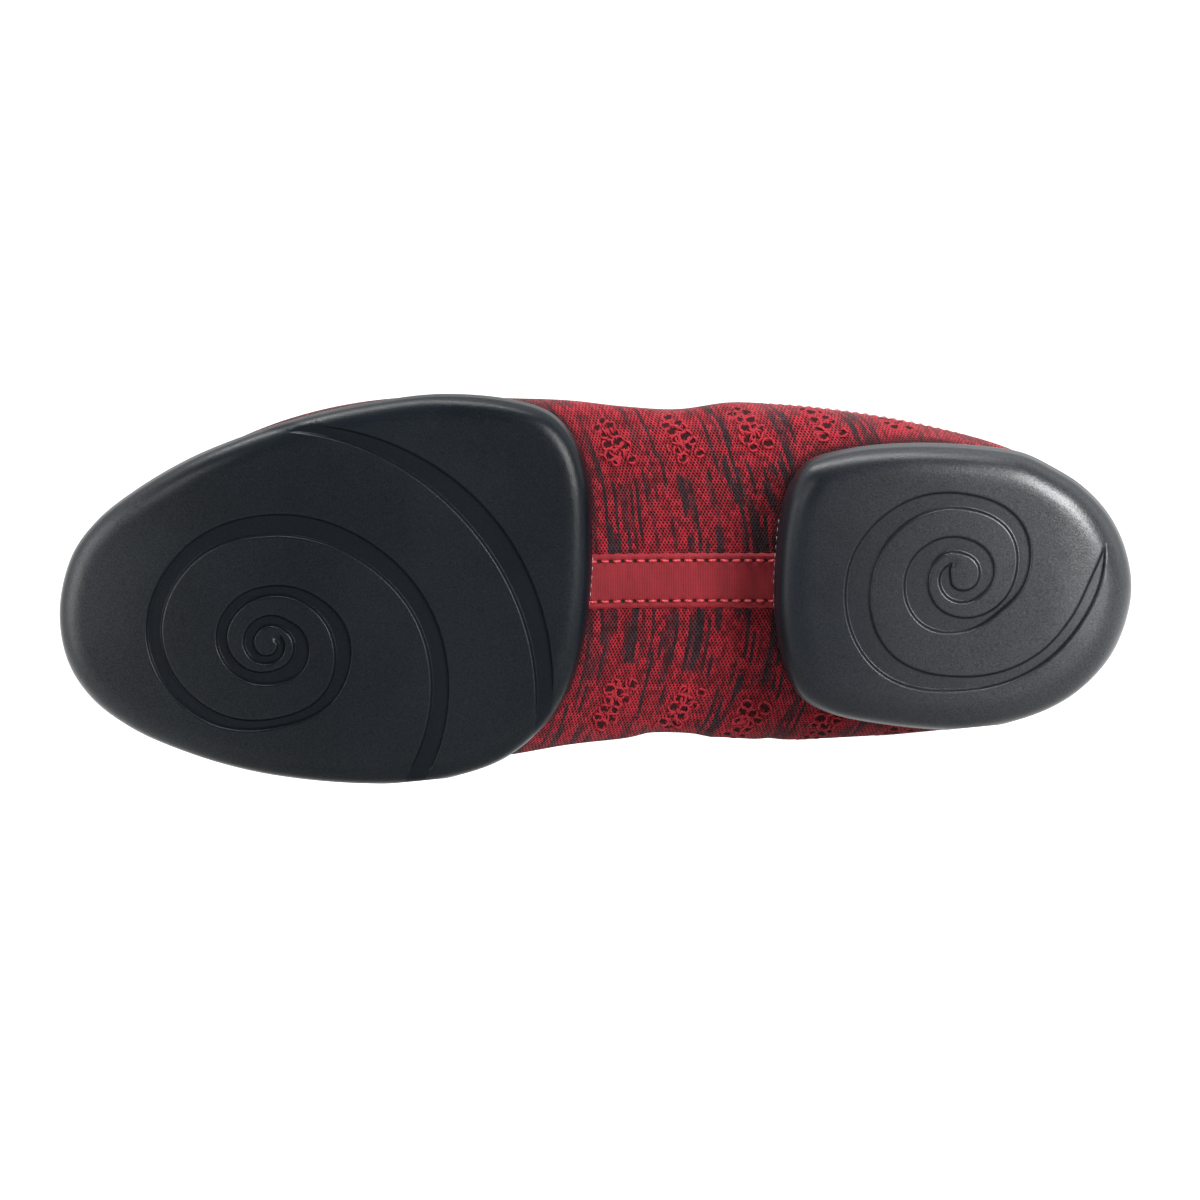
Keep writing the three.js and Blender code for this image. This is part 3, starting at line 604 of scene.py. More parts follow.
def closed_curve(points, count):
    """A smooth closed curve through points, evenly spaced."""
    p = np.asarray(points, float)
    fine = []
    for i in range(len(p)):
        p0, p1, p2, p3 = (p[(i + k) % len(p)] for k in (-1, 0, 1, 2))
        d0, d1, d2 = (max(np.linalg.norm(b - a) ** 0.5, 1e-6) for a, b in ((p0, p1), (p1, p2), (p2, p3)))
        m1 = ((p1 - p0) / d0 - (p2 - p0) / (d0 + d1) + (p2 - p1) / d1) * d1
        m2 = ((p2 - p1) / d1 - (p3 - p1) / (d1 + d2) + (p3 - p2) / d2) * d1
        f = np.linspace(0, 1, 40, endpoint=False)[:, None]
        bend = (3 * (p2 - p1) - 2 * m1 - m2) * f ** 2
        fine.append(p1 + m1 * f + bend + (m1 + m2 - 2 * (p2 - p1)) * f ** 3)
    ring = np.vstack(fine + [fine[0][:1]])
    run = run_along(ring)
    return at_run(ring, run, np.linspace(0, run[-1], count, endpoint=False))


def runs_left(curve):
    """Whether a closed curve runs anticlockwise."""
    return (curve[:, 0] * np.roll(curve[:, 1], -1) - np.roll(curve[:, 0], -1) * curve[:, 1]).sum() > 0


def inward(curve, distance):
    d = unit(np.roll(curve, -1, 0) - np.roll(curve, 1, 0))
    return curve + np.stack([-d[:, 1], d[:, 0]], -1) * distance * (1 if runs_left(curve) else -1)


def to_curve(points, curve):
    """Nearest distance of points to a dense curve, and the index of the nearest point of it."""
    dist, index = np.empty(len(points)), np.empty(len(points), int)
    for i in range(0, len(points), 2000):
        d = ((points[i:i + 2000, None] - curve[None]) ** 2).sum(-1)
        k = np.argmin(d, 1)
        index[i:i + 2000], dist[i:i + 2000] = k, np.sqrt(d[np.arange(len(k)), k])
    return dist, index


def inside_curve(points, curve):
    inside = np.zeros(len(points), bool)
    a, b = curve, np.roll(curve, -1, 0)
    for (x0, y0), (x1, y1) in zip(a, b):
        hit = (y0 > points[:, 1]) != (y1 > points[:, 1])
        xs = x0 + (points[:, 1] - y0) / (y1 - y0 + 1e-12) * (x1 - x0)
        inside ^= hit & (points[:, 0] < xs)
    return inside


class Pad:
    """One pad of the sole. rise gives the tread's height at a share of the pad's length."""

    def __init__(self, start, length, half, outline, roll, lip, bed, rise):
        self.start, self.length, self.half, self.roll = start, length, half, roll
        self.lip, self.bed, self.rise = lip, bed, rise
        places = [self.place(along, across) for along, across in outline]
        self.outline, self.fine_outline = closed_curve(places, 520), closed_curve(places, 2600)

    def place(self, along, across):
        return np.array([self.start + along * self.length, across * self.half])

    def tread(self, x):
        return self.rise((x - self.start) / self.length)

    def lip_at(self, x):
        return between(self.lip, (x - self.start) / self.length) * self.bed


def toe_rise(along):
    return TOE_SPRING * np.maximum(0, (along - TOE_ROLL_SHARE) / (1 - TOE_ROLL_SHARE)) ** 2


def heel_rise(along):
    back = BACK_ROLL * np.maximum(0, 1 - along / BACK_ROLL_SHARE) ** 2
    return back + 0.8 * np.maximum(0, 1 - along / 0.8) ** 2


FOREFOOT = Pad(SOLE_LENGTH - FOREFOOT_LENGTH, FOREFOOT_LENGTH, BALL_WIDTH / 2, FOREFOOT_OUTLINE,
               FOREFOOT_ROLL, FOREFOOT_LIP, BALL_BED, toe_rise)
HEEL = Pad(0, HEEL_LENGTH, HEEL_WIDTH / 2, HEEL_OUTLINE, HEEL_ROLL, HEEL_LIP, HEEL_BED, heel_rise)


def smooth_between(table, column, place):
    """A smooth curve through a table whose rows are placed by their first column."""
    x, y = (np.array([r[k] for r in table], float) for k in (0, column))
    slope = np.diff(y) / np.diff(x)
    gap = np.diff(x)
    inner = (slope[:-1] * gap[1:] + slope[1:] * gap[:-1]) / (gap[1:] + gap[:-1])
    m = np.concatenate([slope[:1], inner, slope[-1:]])
    k = np.clip(np.searchsorted(x, place) - 1, 0, len(x) - 2)
    f = (place - x[k]) / gap[k]
    a, b = m[k] * gap[k], m[k + 1] * gap[k]
    rise = y[k + 1] - y[k]
    return y[k] + f * a + f ** 2 * (3 * rise - 2 * a - b) + f ** 3 * (a + b - 2 * rise)


def spiral_line(pad, spiral, step=0.3):
    """The middle of a spiral groove with its width: x, y, width."""
    along, across, winding, table = spiral
    centre = pad.place(along, across)
    degrees = np.linspace(table[0][0], table[-1][0], 4000)
    turn = np.radians(degrees) * winding
    reach, width = (smooth_between(table, k, degrees) * pad.half for k in (1, 2))
    line = np.stack([centre[0] - reach * np.cos(turn), centre[1] + reach * np.sin(turn), width], -1)
    run = run_along(line[:, :2])
    return at_run(line, run, np.linspace(0, run[-1], int(run[-1] / step)))


def sweep_line(pad, table, step=0.3):
    """The middle of a groove on the circle through three places, drawn on past both ends: x, y, width."""
    a, b, c = (pad.place(along, across) for along, across, _ in table)
    p, q = b - a, c - a
    scale = 1 / (2 * (p[0] * q[1] - p[1] * q[0]))
    centre = a + np.array([(q[1] * p @ p - p[1] * q @ q) * scale, (p[0] * q @ q - q[0] * p @ p) * scale])
    radius = np.linalg.norm(a - centre)
    turns = np.unwrap([math.atan2(*(k - centre)[::-1]) for k in (a, b, c)])
    sweep = turns[2] - turns[0]
    extra = SWEEP_OVERRUN / radius / abs(sweep)
    share = np.linspace(-extra, 1 + extra, int(abs(sweep) * radius / step))
    angle = turns[0] + sweep * share
    width = smooth([r[2] for r in table], share) * pad.half
    return np.stack([centre[0] + radius * np.cos(angle), centre[1] + radius * np.sin(angle), width], -1)


# Width of a groove's sloping side, and the places of mesh lines beside it: out from its edge
WALL_RUN = 0.75
GROOVE_LINES = (0.42, 0.15, -0.05, -0.25, -0.45, -0.6, -0.85)
# Mesh lines along a pad's rolled edge: in from its outline
EDGE_LINES = (0.06, 0.22, 0.5, 0.9, 1.5, 2.3, 3.3, 4.5, 6.0)
TREAD_STEP = 1.3
# The side of a pad from its outline up to the lip and in under the knit: inset as a share of the edge roll,
# rise as a share of the side's height
SIDE_RISE = 0.23
PAD_SIDE = [(-0.06, 0.3), (-0.06, 0.4), (0.0, 0.5), (0.02, 0.6), (0.05, 0.7), (0.09, 0.8), (0.14, 0.88),
            (0.19, 0.94), (0.25, 0.98), (0.33, 1.0), (0.45, 1.0), (0.7, 0.985), (1.1, 0.96), (1.7, 0.93)]


def groove_share(points, lines):
    """How deep the grooves are at points: 0 on the tread to 1 on a groove's floor."""
    deep = np.zeros(len(points))
    for line in lines:
        dist, k = to_curve(points, line[:, :2])
        edge = line[k, 2] / 2 - dist
        s = np.clip((edge + 0.15) / WALL_RUN, 0, 1)
        deep = np.maximum(deep, ease(s) * np.clip(line[k, 2] / 1.2, 0, 1))
    return deep


def pad_surface(pad, points, inset):
    """Height of the tread and its rounded edge at plan points."""
    low = pad.tread(points[:, 0])
    high = pad.lip_at(points[:, 0])
    share = np.clip(inset / pad.roll, 0, 1)
    # A quarter of a rounded edge, steep at the outline and flat on the tread
    bend = SIDE_RISE * (1 - np.sqrt(np.clip(1 - (1 - share) ** 2.3, 0, 1)))
    return low + bend * (high - low)


def groove_edges(pad, lines):
    """Mesh lines along both sides of the grooves, where they lie inside the pad."""
    border = inward(pad.outline, 0.35)
    for line in lines:
        d = unit(np.gradient(line[:, :2], axis=0))
        n = np.stack([-d[:, 1], d[:, 0]], -1)
        for off in GROOVE_LINES:
            reach = np.maximum(line[:, 2] / 2 + off, 0.02)
            for side in (-1, 1):
                c = (line[:, :2] + n * side * reach[:, None])[::2]
                keep = np.concatenate([[False], inside_curve(c, border), [False]]).astype(int)
                for start, end in zip(*(np.flatnonzero(np.diff(keep) == k) for k in (1, -1))):
                    if end - start > 1:
                        yield c[start:end]


def tread_fill(pad, lines):
    """Points spread over the tread, clear of its edge and of the grooves' sides."""
    low, high = pad.outline.min(0), pad.outline.max(0)
    x, y = np.meshgrid(*(np.arange(a, b, TREAD_STEP) for a, b in zip(low, high)), indexing="ij")
    y = y + (np.arange(x.shape[0]) % 2)[:, None] * TREAD_STEP / 2
    fill = np.stack([x.ravel(), y.ravel()], -1)
    fill = fill[inside_curve(fill, inward(pad.outline, min(pad.roll, 6.0) * 0.95))]
    near = np.full(len(fill), 1e9)
    for line in lines:
        dist, k = to_curve(fill, line[:, :2])
        near = np.minimum(near, np.abs(dist - line[k, 2] / 2 + 0.2) - 0.4)
    return fill[near > 0.5]


def tread_mesh(pad, lines):
    """The tread in plan: its points, and its faces turned to look down."""
    ring = pad.outline
    count = len(ring)
    points = list(ring)
    edges = [(i, (i + 1) % count) for i in range(count)]
    for distance in EDGE_LINES:
        if distance < pad.roll + 1:
            points.extend(inward(ring, distance))
    for curve in groove_edges(pad, lines):
        edges.extend((len(points) + i, len(points) + i + 1) for i in range(len(curve) - 1))
        points.extend(curve)
    points.extend(tread_fill(pad, lines))
    places = [Vector((float(x), float(y))) for x, y in points]
    verts, _, faces, _, _, _ = delaunay_2d_cdt(places, edges, [], 0, 1e-4, False)
    plan = np.array([(v.x, v.y) for v in verts])
    inside = inside_curve(np.array([plan[list(f)].mean(0) for f in faces]), inward(ring, 0.005))
    down = []
    for f, keep in zip(faces, inside):
        a, b, c = (plan[i] for i in f[:3])
        turn = (b[0] - a[0]) * (c[1] - a[1]) - (b[1] - a[1]) * (c[0] - a[0])
        if keep:
            down.append(tuple(f)[::-1] if turn > 0 else tuple(f))
    return plan, down


def make_pad(name, pad, lines, mat):
    plan, faces = tread_mesh(pad, lines)
    dist, _ = to_curve(plan, pad.fine_outline)
    z = pad_surface(pad, plan, np.where(dist < 0.02, 0, dist))
    deep = groove_share(plan, lines)
    z = z + deep * np.maximum(pad.tread(plan[:, 0]) + GROOVE_DEPTH - z, 0)
    ring = pad.outline
    count = len(ring)
    points, groove = [np.column_stack([plan, z])], [deep]
    # The side wall, from the outline up to the lip and then in under the knit
    wall = [[int(np.argmin(((plan - p) ** 2).sum(1))) for p in ring]]
    for k, (inset, rise) in enumerate(PAD_SIDE):
        c = inward(ring, inset * pad.roll)
        low, high = pad.tread(c[:, 0]), pad.lip_at(c[:, 0])
        h = np.minimum(low + rise * (high - low), underside(c[:, 0], c[:, 1]) + 1.2)
        points.append(np.column_stack([c, h]))
        groove.append(np.zeros(count))
        wall.append(np.arange(count) + len(plan) + k * count)
    left = runs_left(ring)
    for below, over in zip(wall[:-1], wall[1:]):
        for i in range(count):
            k = (i + 1) % count
            quad = (below[i], below[k], over[k], over[i])
            faces.append(quad if left else quad[::-1])
    return make_object(name, np.concatenate(points), faces, mat, extra={"groove": np.concatenate(groove)})


# Threads and yarns

# Height of the line that a thread's cross-section is turned from
MID_HEIGHT = 45.0


def thread_tubes(name, paths, radius, mat, around=8):
    """Short threads, each a tapered tube along its path."""
    points, faces, first = [], [], 0
    turn = 2 * np.pi * np.arange(around) / around
    for path in paths:
        n = len(path)
        d = unit(np.gradient(path, axis=0))
        side = np.cross(d, path * [0, 1, 1] - [0, 0, MID_HEIGHT])
        side /= np.maximum(np.linalg.norm(side, axis=1, keepdims=True), 1e-9)
        up = np.cross(side, d)
        taper = np.sqrt(1 - np.linspace(-1, 1, n) ** 4) * 0.85 + 0.15
        rings = np.cos(turn)[:, None] * side[:, None] + np.sin(turn)[:, None] * up[:, None]
        points.append((path[:, None] + radius * taper[:, None, None] * rings).reshape(-1, 3))
        last = first + (n - 1) * around
        faces += (grid_faces(n, around, True, flip=True) + first).tolist()
        faces += [list(range(first, first + around)), list(range(last, last + around))[::-1]]
        first = last + around
    return make_object(name, np.concatenate(points), faces, mat)


# Upper

# Place along the shoe where the knit's U starts from
ARCH_MIDDLE = 110.0


def knit_grid(t, turn):
    """A grid of points on the last, with millimetres along the shoe and round its girth."""
    tt, uu = np.meshgrid(t, turn, indexing="ij")
    p = last_point(tt, uu)
    along = np.linalg.norm(np.diff(p, axis=0), axis=-1)
    run = np.vstack([np.zeros((1, p.shape[1])), np.cumsum(along, axis=0)])
    x = smooth(LAST["x"], t)
    middle = np.argmin(np.abs(x - ARCH_MIDDLE))
    around = np.linalg.norm(np.diff(p, axis=1), axis=-1)
    v = np.hstack([np.zeros((p.shape[0], 1)), np.cumsum(around, axis=1)])
    return p, last_normal(tt, uu), run - run[middle] + x[middle], v


def spread(count, bias):
    """Shares from 0 to 1 that crowd towards both ends."""
    s = np.linspace(0, 1, count)
    return s - bias * np.sin(2 * np.pi * s) / (2 * np.pi)


# Openwork clusters on the knit. Columns: side, along from the heel, out from the middle of the arch. The rows
# next to the arch follow the photo, the rows above them repeat the spacing up the hidden sides
CLUSTERS = [
    (1, 124.0, 29.0), (1, 107.0, 30.0), (1, 90.0, 33.0), (1, 72.5, 36.0), (1, 55.0, 40.0),
    (-1, 124.0, 25.0), (-1, 107.0, 27.4), (-1, 91.0, 31.0), (-1, 73.0, 35.0), (-1, 55.0, 40.0),
]
for row_out, row_from, row_to in ((70.0, 60, 205), (100.0, 125, 190)):
    for row_side in (1, -1):
        CLUSTERS += [(row_side, x, row_out) for x in np.arange(row_from, row_to, 17.0)]
# Holes of one cluster in millimetres from its place: towards the toe, outwards
HOLES = [(1.0, 0.0), (-3.0, 0.9), (0.1, 2.6), (2.3, 2.0), (3.0, 4.6), (-1.2, 4.4), (0.9, 5.4), (1.6, 7.4),
         (4.0, 7.0), (5.7, 8.6), (2.4, 9.5), (4.6, 10.8)]


# A loop of yarn round a hole: its corners about the hole, and its sides from corner to corner with their bow
LOOP_CORNERS = np.array([(-1.75, -0.95), (0.1, 1.45), (1.75, -0.95)])
LOOP_SIDES = [(0, 1, 0.25), (1, 2, 0.25), (0, 2, -0.22)]
LOOSE_STRANDS = 10
YARN_RADIUS = 0.32
GAP_LIFT = 0.07
# A strand's height over the knit at its ends and its rise to the middle. Strands that start far out lie
# flatter, so that the shoe's outline stays smooth
STRAND_LIFT = (-0.06, 0.34)
FLAT_LIFT = (-0.3, 0.1)
FLAT_BEYOND = 37.0


def openwork_share(u, v):
    """1 inside an openwork cluster, fading to 0 a few millimetres beside it."""
    share = np.zeros(u.shape)
    for side, along, out in CLUSTERS:
        x, y = u - along, v * side - out
        k = np.clip((x * 0.45 + y * 0.9 + 0.5) / 11.5, 0, 1)
        away = np.hypot(x - 5.0 * k + 0.8, y - 10.4 * k)
        share = np.maximum(share, np.clip((6.5 - away) / 3.5, 0, 1))
    return share


# Soft creases of the knit at the arch. Columns: side, along, out, length, width, depth, turn from the girth
CREASES = [
    (-1, 112.0, 38.0, 26.0, 5.0, 0.7, 50), (-1, 97.0, 36.0, 22.0, 4.5, -0.45, 35),
    (-1, 84.0, 38.0, 20.0, 4.5, 0.5, 20), (1, 118.0, 40.0, 22.0, 5.0, 0.5, -60),
    (1, 96.0, 43.0, 24.0, 6.0, 0.6, -75), (1, 81.0, 40.0, 18.0, 5.0, -0.4, -60),
    (1, 128.0, 18.0, 14.0, 4.0, 0.35, -25), (-1, 127.0, 16.0, 14.0, 4.0, 0.35, 25),
    (1, 88.0, 20.0, 14.0, 4.0, 0.35, 25), (-1, 88.0, 20.0, 14.0, 4.0, 0.35, -25),
]


def crease_depth(u, v):
    depth = np.zeros(u.shape)
    for side, along, out, length, width, deep, turn in CREASES:
        c, d = math.cos(math.radians(turn)), math.sin(math.radians(turn))
        x, y = u - along, v * side - out
        lengthwise, across = (x * d + y * c) / (length / 2), (x * c - y * d) / (width / 2)
        depth += deep * np.exp(-across ** 2) * np.exp(-lengthwise ** 4)
    return depth


def contact_shade_share(points):
    """Where painted shade darkens the knit: 1 beside the rim of a pad, fading to 0 two millimetres away from
    it.
    """
    share = np.zeros(len(points))
    for pad in (FOREFOOT, HEEL):
        x = points[:, 0] - pad.start
        low = np.flatnonzero((points[:, 2] < 30) & (x > -6) & (x < pad.length + 6))
        away = to_curve(points[low, :2], pad.outline)[0]
        share[low] = np.maximum(share[low], np.clip(1.15 - away / 1.7, 0, 1))
    return share


class Fabric:
    """The knit's face as a map from millimetres along and round the shoe to points in the shoe's axes."""

    def __init__(self, rows_n=250, turns=130):
        self.t = spread(rows_n, 0.6)
        self.turns = turns
        self.halves = {}
        for sign in (1, -1):
            turn = np.linspace(-np.pi / 2, -np.pi / 2 + sign * np.pi, turns)
            p, n, u, v = knit_grid(self.t, turn)
            p = p - n * crease_depth(u, v * sign)[..., None]
            self.halves[sign] = p, n, u, v * sign

    def at(self, places, out):
        """Points over the knit, for places along and round one side of the shoe."""
        p, n, gu, gv = self.halves[1 if np.mean(places[:, 1]) >= 0 else -1]
        result = []
        for (u, v), lift in zip(places, out):
            i, j = np.unravel_index(np.argmin((gu - u) ** 2 + (gv - v) ** 2), gu.shape)
            i, j = min(max(i, 1), gu.shape[0] - 2), min(max(j, 1), gu.shape[1] - 2)
            slope = [[(g[i + 1, j] - g[i - 1, j]) / 2, (g[i, j + 1] - g[i, j - 1]) / 2] for g in (gu, gv)]
            a, b = np.clip(np.linalg.solve(slope, [u - gu[i, j], v - gv[i, j]]), -1, 1)
            spot = p[i, j] + a * (p[i + 1, j] - p[i - 1, j]) / 2 + b * (p[i, j + 1] - p[i, j - 1]) / 2
            result.append(spot + n[i, j] * lift)
        return np.array(result)


FABRIC = Fabric()


def make_upper(name, mat, grow=0.0, top=BAND_HEIGHT - 1.2, inner=False):
    """The knit's face, or its lining, up to a depth under the collar's edge."""
    fabric = FABRIC if not inner else Fabric(120, 60)
    turns, rows_n = fabric.turns, len(fabric.t)
    half = rows_n * turns
    quads = grid_faces(rows_n, turns, False, flip=inner)
    faces = [tuple(f) for f in quads] + [tuple(f) for f in quads[:, ::-1] + half]
    points, uvs = [], []
    for p, n, u, v in fabric.halves.values():
        points.append((p + n * grow).reshape(-1, 3))
        uvs.append(np.stack([u, v], -1).reshape(-1, 2))
    # Close the tips. The halves are welded once the UV map is on the corners of the faces
    for row_i, out, u in ((0, -0.6 - grow, 0), (rows_n - 1, 0.6 + grow, SOLE_LENGTH)):
        s = section(fabric.t[row_i])
        points.append([[s["x"] + out, (s["outer"] - s["inner"]) / 2, (s["low"] + s["high"]) / 2]])
        uvs.append([[u, 0]])
        tip = 2 * half + (row_i > 0)
        flip = (row_i == 0) != inner
        for j in range(row_i * turns, row_i * turns + turns - 1):
            for face in ((j, j + 1, tip), (half + j + 1, half + j, tip)):
                faces.append(face[::-1] if flip else face)
    points, uvs = np.concatenate(points), np.concatenate(uvs)
    points, faces, uvs = keep_below(points, faces, over_collar(points) + top, uvs)
    extra = {"openwork": openwork_share(uvs[:, 0], uvs[:, 1]), "contact_shade": contact_shade_share(points)}
    return make_object(name, points, faces, mat, uv=uvs, extra=extra, weld=True)


def hole_rim():
    """The ragged rim of a near-black sheet of painted shade in a hole, about its middle."""
    a = np.linspace(0, 2 * np.pi, 10, endpoint=False)
    r = 0.95 * (1 + 0.18 * np.sin(3 * a))
    return np.stack([r * np.cos(a) * 1.25, r * np.sin(a) * 0.85 - 0.1], -1)


HOLE_RIM = hole_rim()


def openwork_paths():
    """Centre lines of the plump yarns round the holes, and the outlines of the near-black sheets of painted
    shade in the holes between them.
    """
    rng = np.random.default_rng(11)
    yarns, gaps = [], []
    share = np.linspace(0, 1, 7)[:, None]
    swell = np.sin(np.pi * share)
    for side, along, out in CLUSTERS:
        strands = []
        for hx, hy in HOLES:
            place = np.array([along + hx + rng.normal(0, 0.2), out + hy + rng.normal(0, 0.2)])
            tilt, size = rng.normal(-0.25, 0.35), rng.uniform(0.6, 0.95)
            c, d = size * math.cos(tilt), size * math.sin(tilt)
            turn = np.array([[c, d], [-d, c]])
            corners = place + LOOP_CORNERS @ turn
            strands += [(corners[a], corners[b], bow) for a, b, bow in LOOP_SIDES]
            gaps.append((side, np.vstack([place, place + HOLE_RIM @ turn])))
        for _ in range(LOOSE_STRANDS):
            k = rng.uniform(0, 1)
            x, y = along + 4.8 * k + rng.normal(0, 1.8) - 0.5, out + 10 * k + rng.normal(0, 0.8)
            turn, half = rng.normal(1.0, 0.5), rng.uniform(0.8, 1.7)
            place, reach = np.array([x, y]), half * np.array([math.cos(turn), math.sin(turn)])
            strands.append((place - reach, place + reach, rng.normal(0, 0.15)))
        for start, end, bow in strands:
            run = end - start
            line = start + run * share + np.array([-run[1], run[0]]) * bow * swell
            low, rise = STRAND_LIFT if start[1] < FLAT_BEYOND else FLAT_LIFT
            yarns.append((side, line, low + rise * swell[:, 0] ** 0.7))
    return yarns, gaps


def visible_knit(point):
    """Whether a point on the knit is clear of the collar band."""
    return over_collar(np.array([point]))[0] < -BAND_HEIGHT - 2


def make_openwork(mat, hole_shade_mat):
    yarns, gaps = openwork_paths()
    paths = [FABRIC.at(line * [1, side], lift) for side, line, lift in yarns]
    paths = [path for path in paths if visible_knit(path[3])]
    points, faces = [], []
    # Near-black sheets of painted shade in the holes
    for side, ring in gaps:
        p = FABRIC.at(ring * [1, side], np.full(len(ring), GAP_LIFT))
        if visible_knit(p[0]):
            first, count = len(points), len(ring) - 1
            points.extend(p)
            for k in range(count):
                f = (first, first + 1 + k, first + 1 + (k + 1) % count)
                faces.append(f[::-1] if side > 0 else f)
    loops = thread_tubes("openwork_yarn", paths, YARN_RADIUS, mat, 6)
    return loops, make_object("openwork_shade_sheets", np.array(points), faces, hole_shade_mat)


# Contours of the last at a distance under the collar's edge

def contour(level, field):
    """The loop round the last at a depth under the collar's edge: points and normals."""
    p0, nn, over = field
    val = over + level
    rows_n, cols = val.shape

    def point(a, b):
        va, vb = val[a], val[b]
        s = va / (va - vb)
        return (p0[a] + (p0[b] - p0[a]) * s, nn[a] + (nn[b] - nn[a]) * s)

    marks, links = {}, {}
    sign = val > 0
    for i in range(rows_n - 1):
        hit = np.nonzero((sign[i] != sign[i + 1]) | (sign[i] != np.roll(sign[i], -1))
                         | (sign[i + 1] != np.roll(sign[i + 1], -1)))[0]
        for j in hit:
            k = (j + 1) % cols
            q = [(i, j), (i, k), (i + 1, k), (i + 1, j)]
            cross = []
            for e in range(4):
                a, b = q[e], q[(e + 1) % 4]
                if sign[a] != sign[b]:
                    key = (min(a, b), max(a, b))
                    if key not in marks:
                        marks[key] = point(*key)
                    cross.append(key)
            for x in range(0, len(cross) - 1, 2):
                links.setdefault(cross[x], []).append(cross[x + 1])
                links.setdefault(cross[x + 1], []).append(cross[x])
    # Walk the longest loop
    left, best = set(links), []
    while left:
        start = next(iter(left))
        chain, at, before = [start], start, None
        left.discard(start)
        while True:
            onward = [k for k in links[at] if k != before and k in left]
            if not onward:
                break
            before, at = at, onward[0]
            left.discard(at)
            chain.append(at)
        if len(chain) > len(best):
            best = chain
    return np.array([marks[k][0] for k in best]), np.array([marks[k][1] for k in best])


def resample(loop, normals, count):
    """The loop from the middle of the heel, round the outer side, with evenly spaced points."""
    both = np.hstack([loop, normals])
    both = np.roll(both, -np.argmin(loop[:, 0] + np.abs(loop[:, 1]) * 3), 0)
    if both[len(both) // 4, 1] < 0:
        both = both[::-1]
    ring = np.vstack([both, both[:1]])
    run = run_along(ring[:, :3])
    even = at_run(ring, run, np.linspace(0, run[-1], count, endpoint=False))
    return even[:, :3], unit(even[:, 3:]), run[-1]


# The band's cross-section from its lower outer edge over the top and down inside: depth under the edge, how
# far out from the last
BAND_SECTION = [
    (12.4, -0.9), (12.3, 0.1), (11.9, 0.7), (11.2, 0.95), (9.0, 0.85), (6.5, 0.8), (4.0, 0.8), (2.2, 0.8),
    (1.2, 0.75), (0.5, 0.45), (0.12, -0.05), (0.0, -0.7), (0.12, -1.35), (0.5, -1.85), (1.2, -2.15),
    (2.5, -2.2), (5.0, -2.2), (8.0, -2.2), (12.0, -2.2), (14.0, -2.3),
]
RIB_PITCH = 2.3
RIB_DEPTH = 0.38


def make_band(name, mat):
    tt, uu = np.meshgrid(spread(260, 0.3), np.linspace(0, 2 * np.pi, 300, endpoint=False), indexing="ij")
    p0 = last_point(tt, uu)
    field = p0, last_normal(tt, uu), over_collar(p0.reshape(-1, 3)).reshape(tt.shape)
    length = resample(*contour(BAND_HEIGHT / 2, field), 64)[2]
    per_rib = 8
    count = int(round(length / RIB_PITCH)) * per_rib
    place = np.arange(count) / per_rib
    wave = np.cos(2 * np.pi * place) * 0.5 - 0.5
    grid, uv = [], []
    run = run_along(np.array(BAND_SECTION))
    for (depth, out), along in zip(BAND_SECTION, run):
        p, n, _ = resample(*contour(depth, field), count)
        fade = min(1.0, max(0.25, BAND_SECTION[0][0] - depth)) if out > -1 else 0.6
        grid.append(p + n * (out + RIB_DEPTH * fade * wave * (1 if out > -0.75 else -1))[:, None])
        uv.append(np.stack([place * RIB_PITCH, np.full(count, along)], -1))
    faces = grid_faces(len(grid), count, True, flip=True)
    return make_object(name, np.concatenate(grid), faces, mat, uv=np.concatenate(uv))


def rib_material(name, red, dark, gap):
    mat, n, shader = nodes_of(name)
    u, v = n.uv()
    rib_at = u / RIB_PITCH
    valley = n.ramp((rib_at + 0.5).off_middle(), 0.25, 0.5)
    course_at = v / COURSE + (u / (RIB_PITCH / 2)).off_middle() * 1.2
    plump = n.math("SUBTRACT", 1.0, (course_at.off_middle() * 2.0) ** 2.5, clamp=True)
    tone = n.ramp(n.white(rib_at.floor(), course_at.floor(), 1.0), 0.0, 1.0, 0.8, 1.15, False)
    # The valleys between the ribs are darkened towards the dark colour, and the gaps between the courses
    # towards the gap colour, as painted shade
    yarn = n.shade(n.mix(valley * 0.7, red, dark), tone)
    n.link(n.mix(n.ramp(plump, 0.1, 0.5), gap, yarn), shader.inputs["Base Color"])
    shader.inputs["Roughness"].default_value = 0.85
    shader.inputs["Sheen Weight"].default_value = 0.25
    shader.inputs["Sheen Roughness"].default_value = 0.45
    n.link(n.bump(plump + n.noise(n.coords(), 9000.0) * 0.3, 0.0003, 0.8), shader.inputs["Normal"])
    return mat


# Tape along the arch

TAPE_START = HEEL_LENGTH - TAPE_UNDER_PAD
TAPE_END = SOLE_LENGTH - FOREFOOT_LENGTH + TAPE_UNDER_PAD
STITCH_LINE = 4.9
STITCH_PITCH = 2.95
PAD_STITCH = 1.1
PAD_STITCH_PITCH = 2.1
PAD_STITCHES_TO = 17.0


def under_point(x, y, out):
    """A point on the underside of the knit at a place, moved out from it."""
    h = 0.2
    z = underside(x, y)
    zx = (underside(x + h, y) - underside(x - h, y)) / (2 * h)
    zy = (underside(x, y + h) - underside(x, y - h)) / (2 * h)
    down = unit(np.stack([zx, zy, -np.ones_like(zx)], -1))
    return np.stack([x, y, z], -1) + down * np.asarray(out)[..., None]


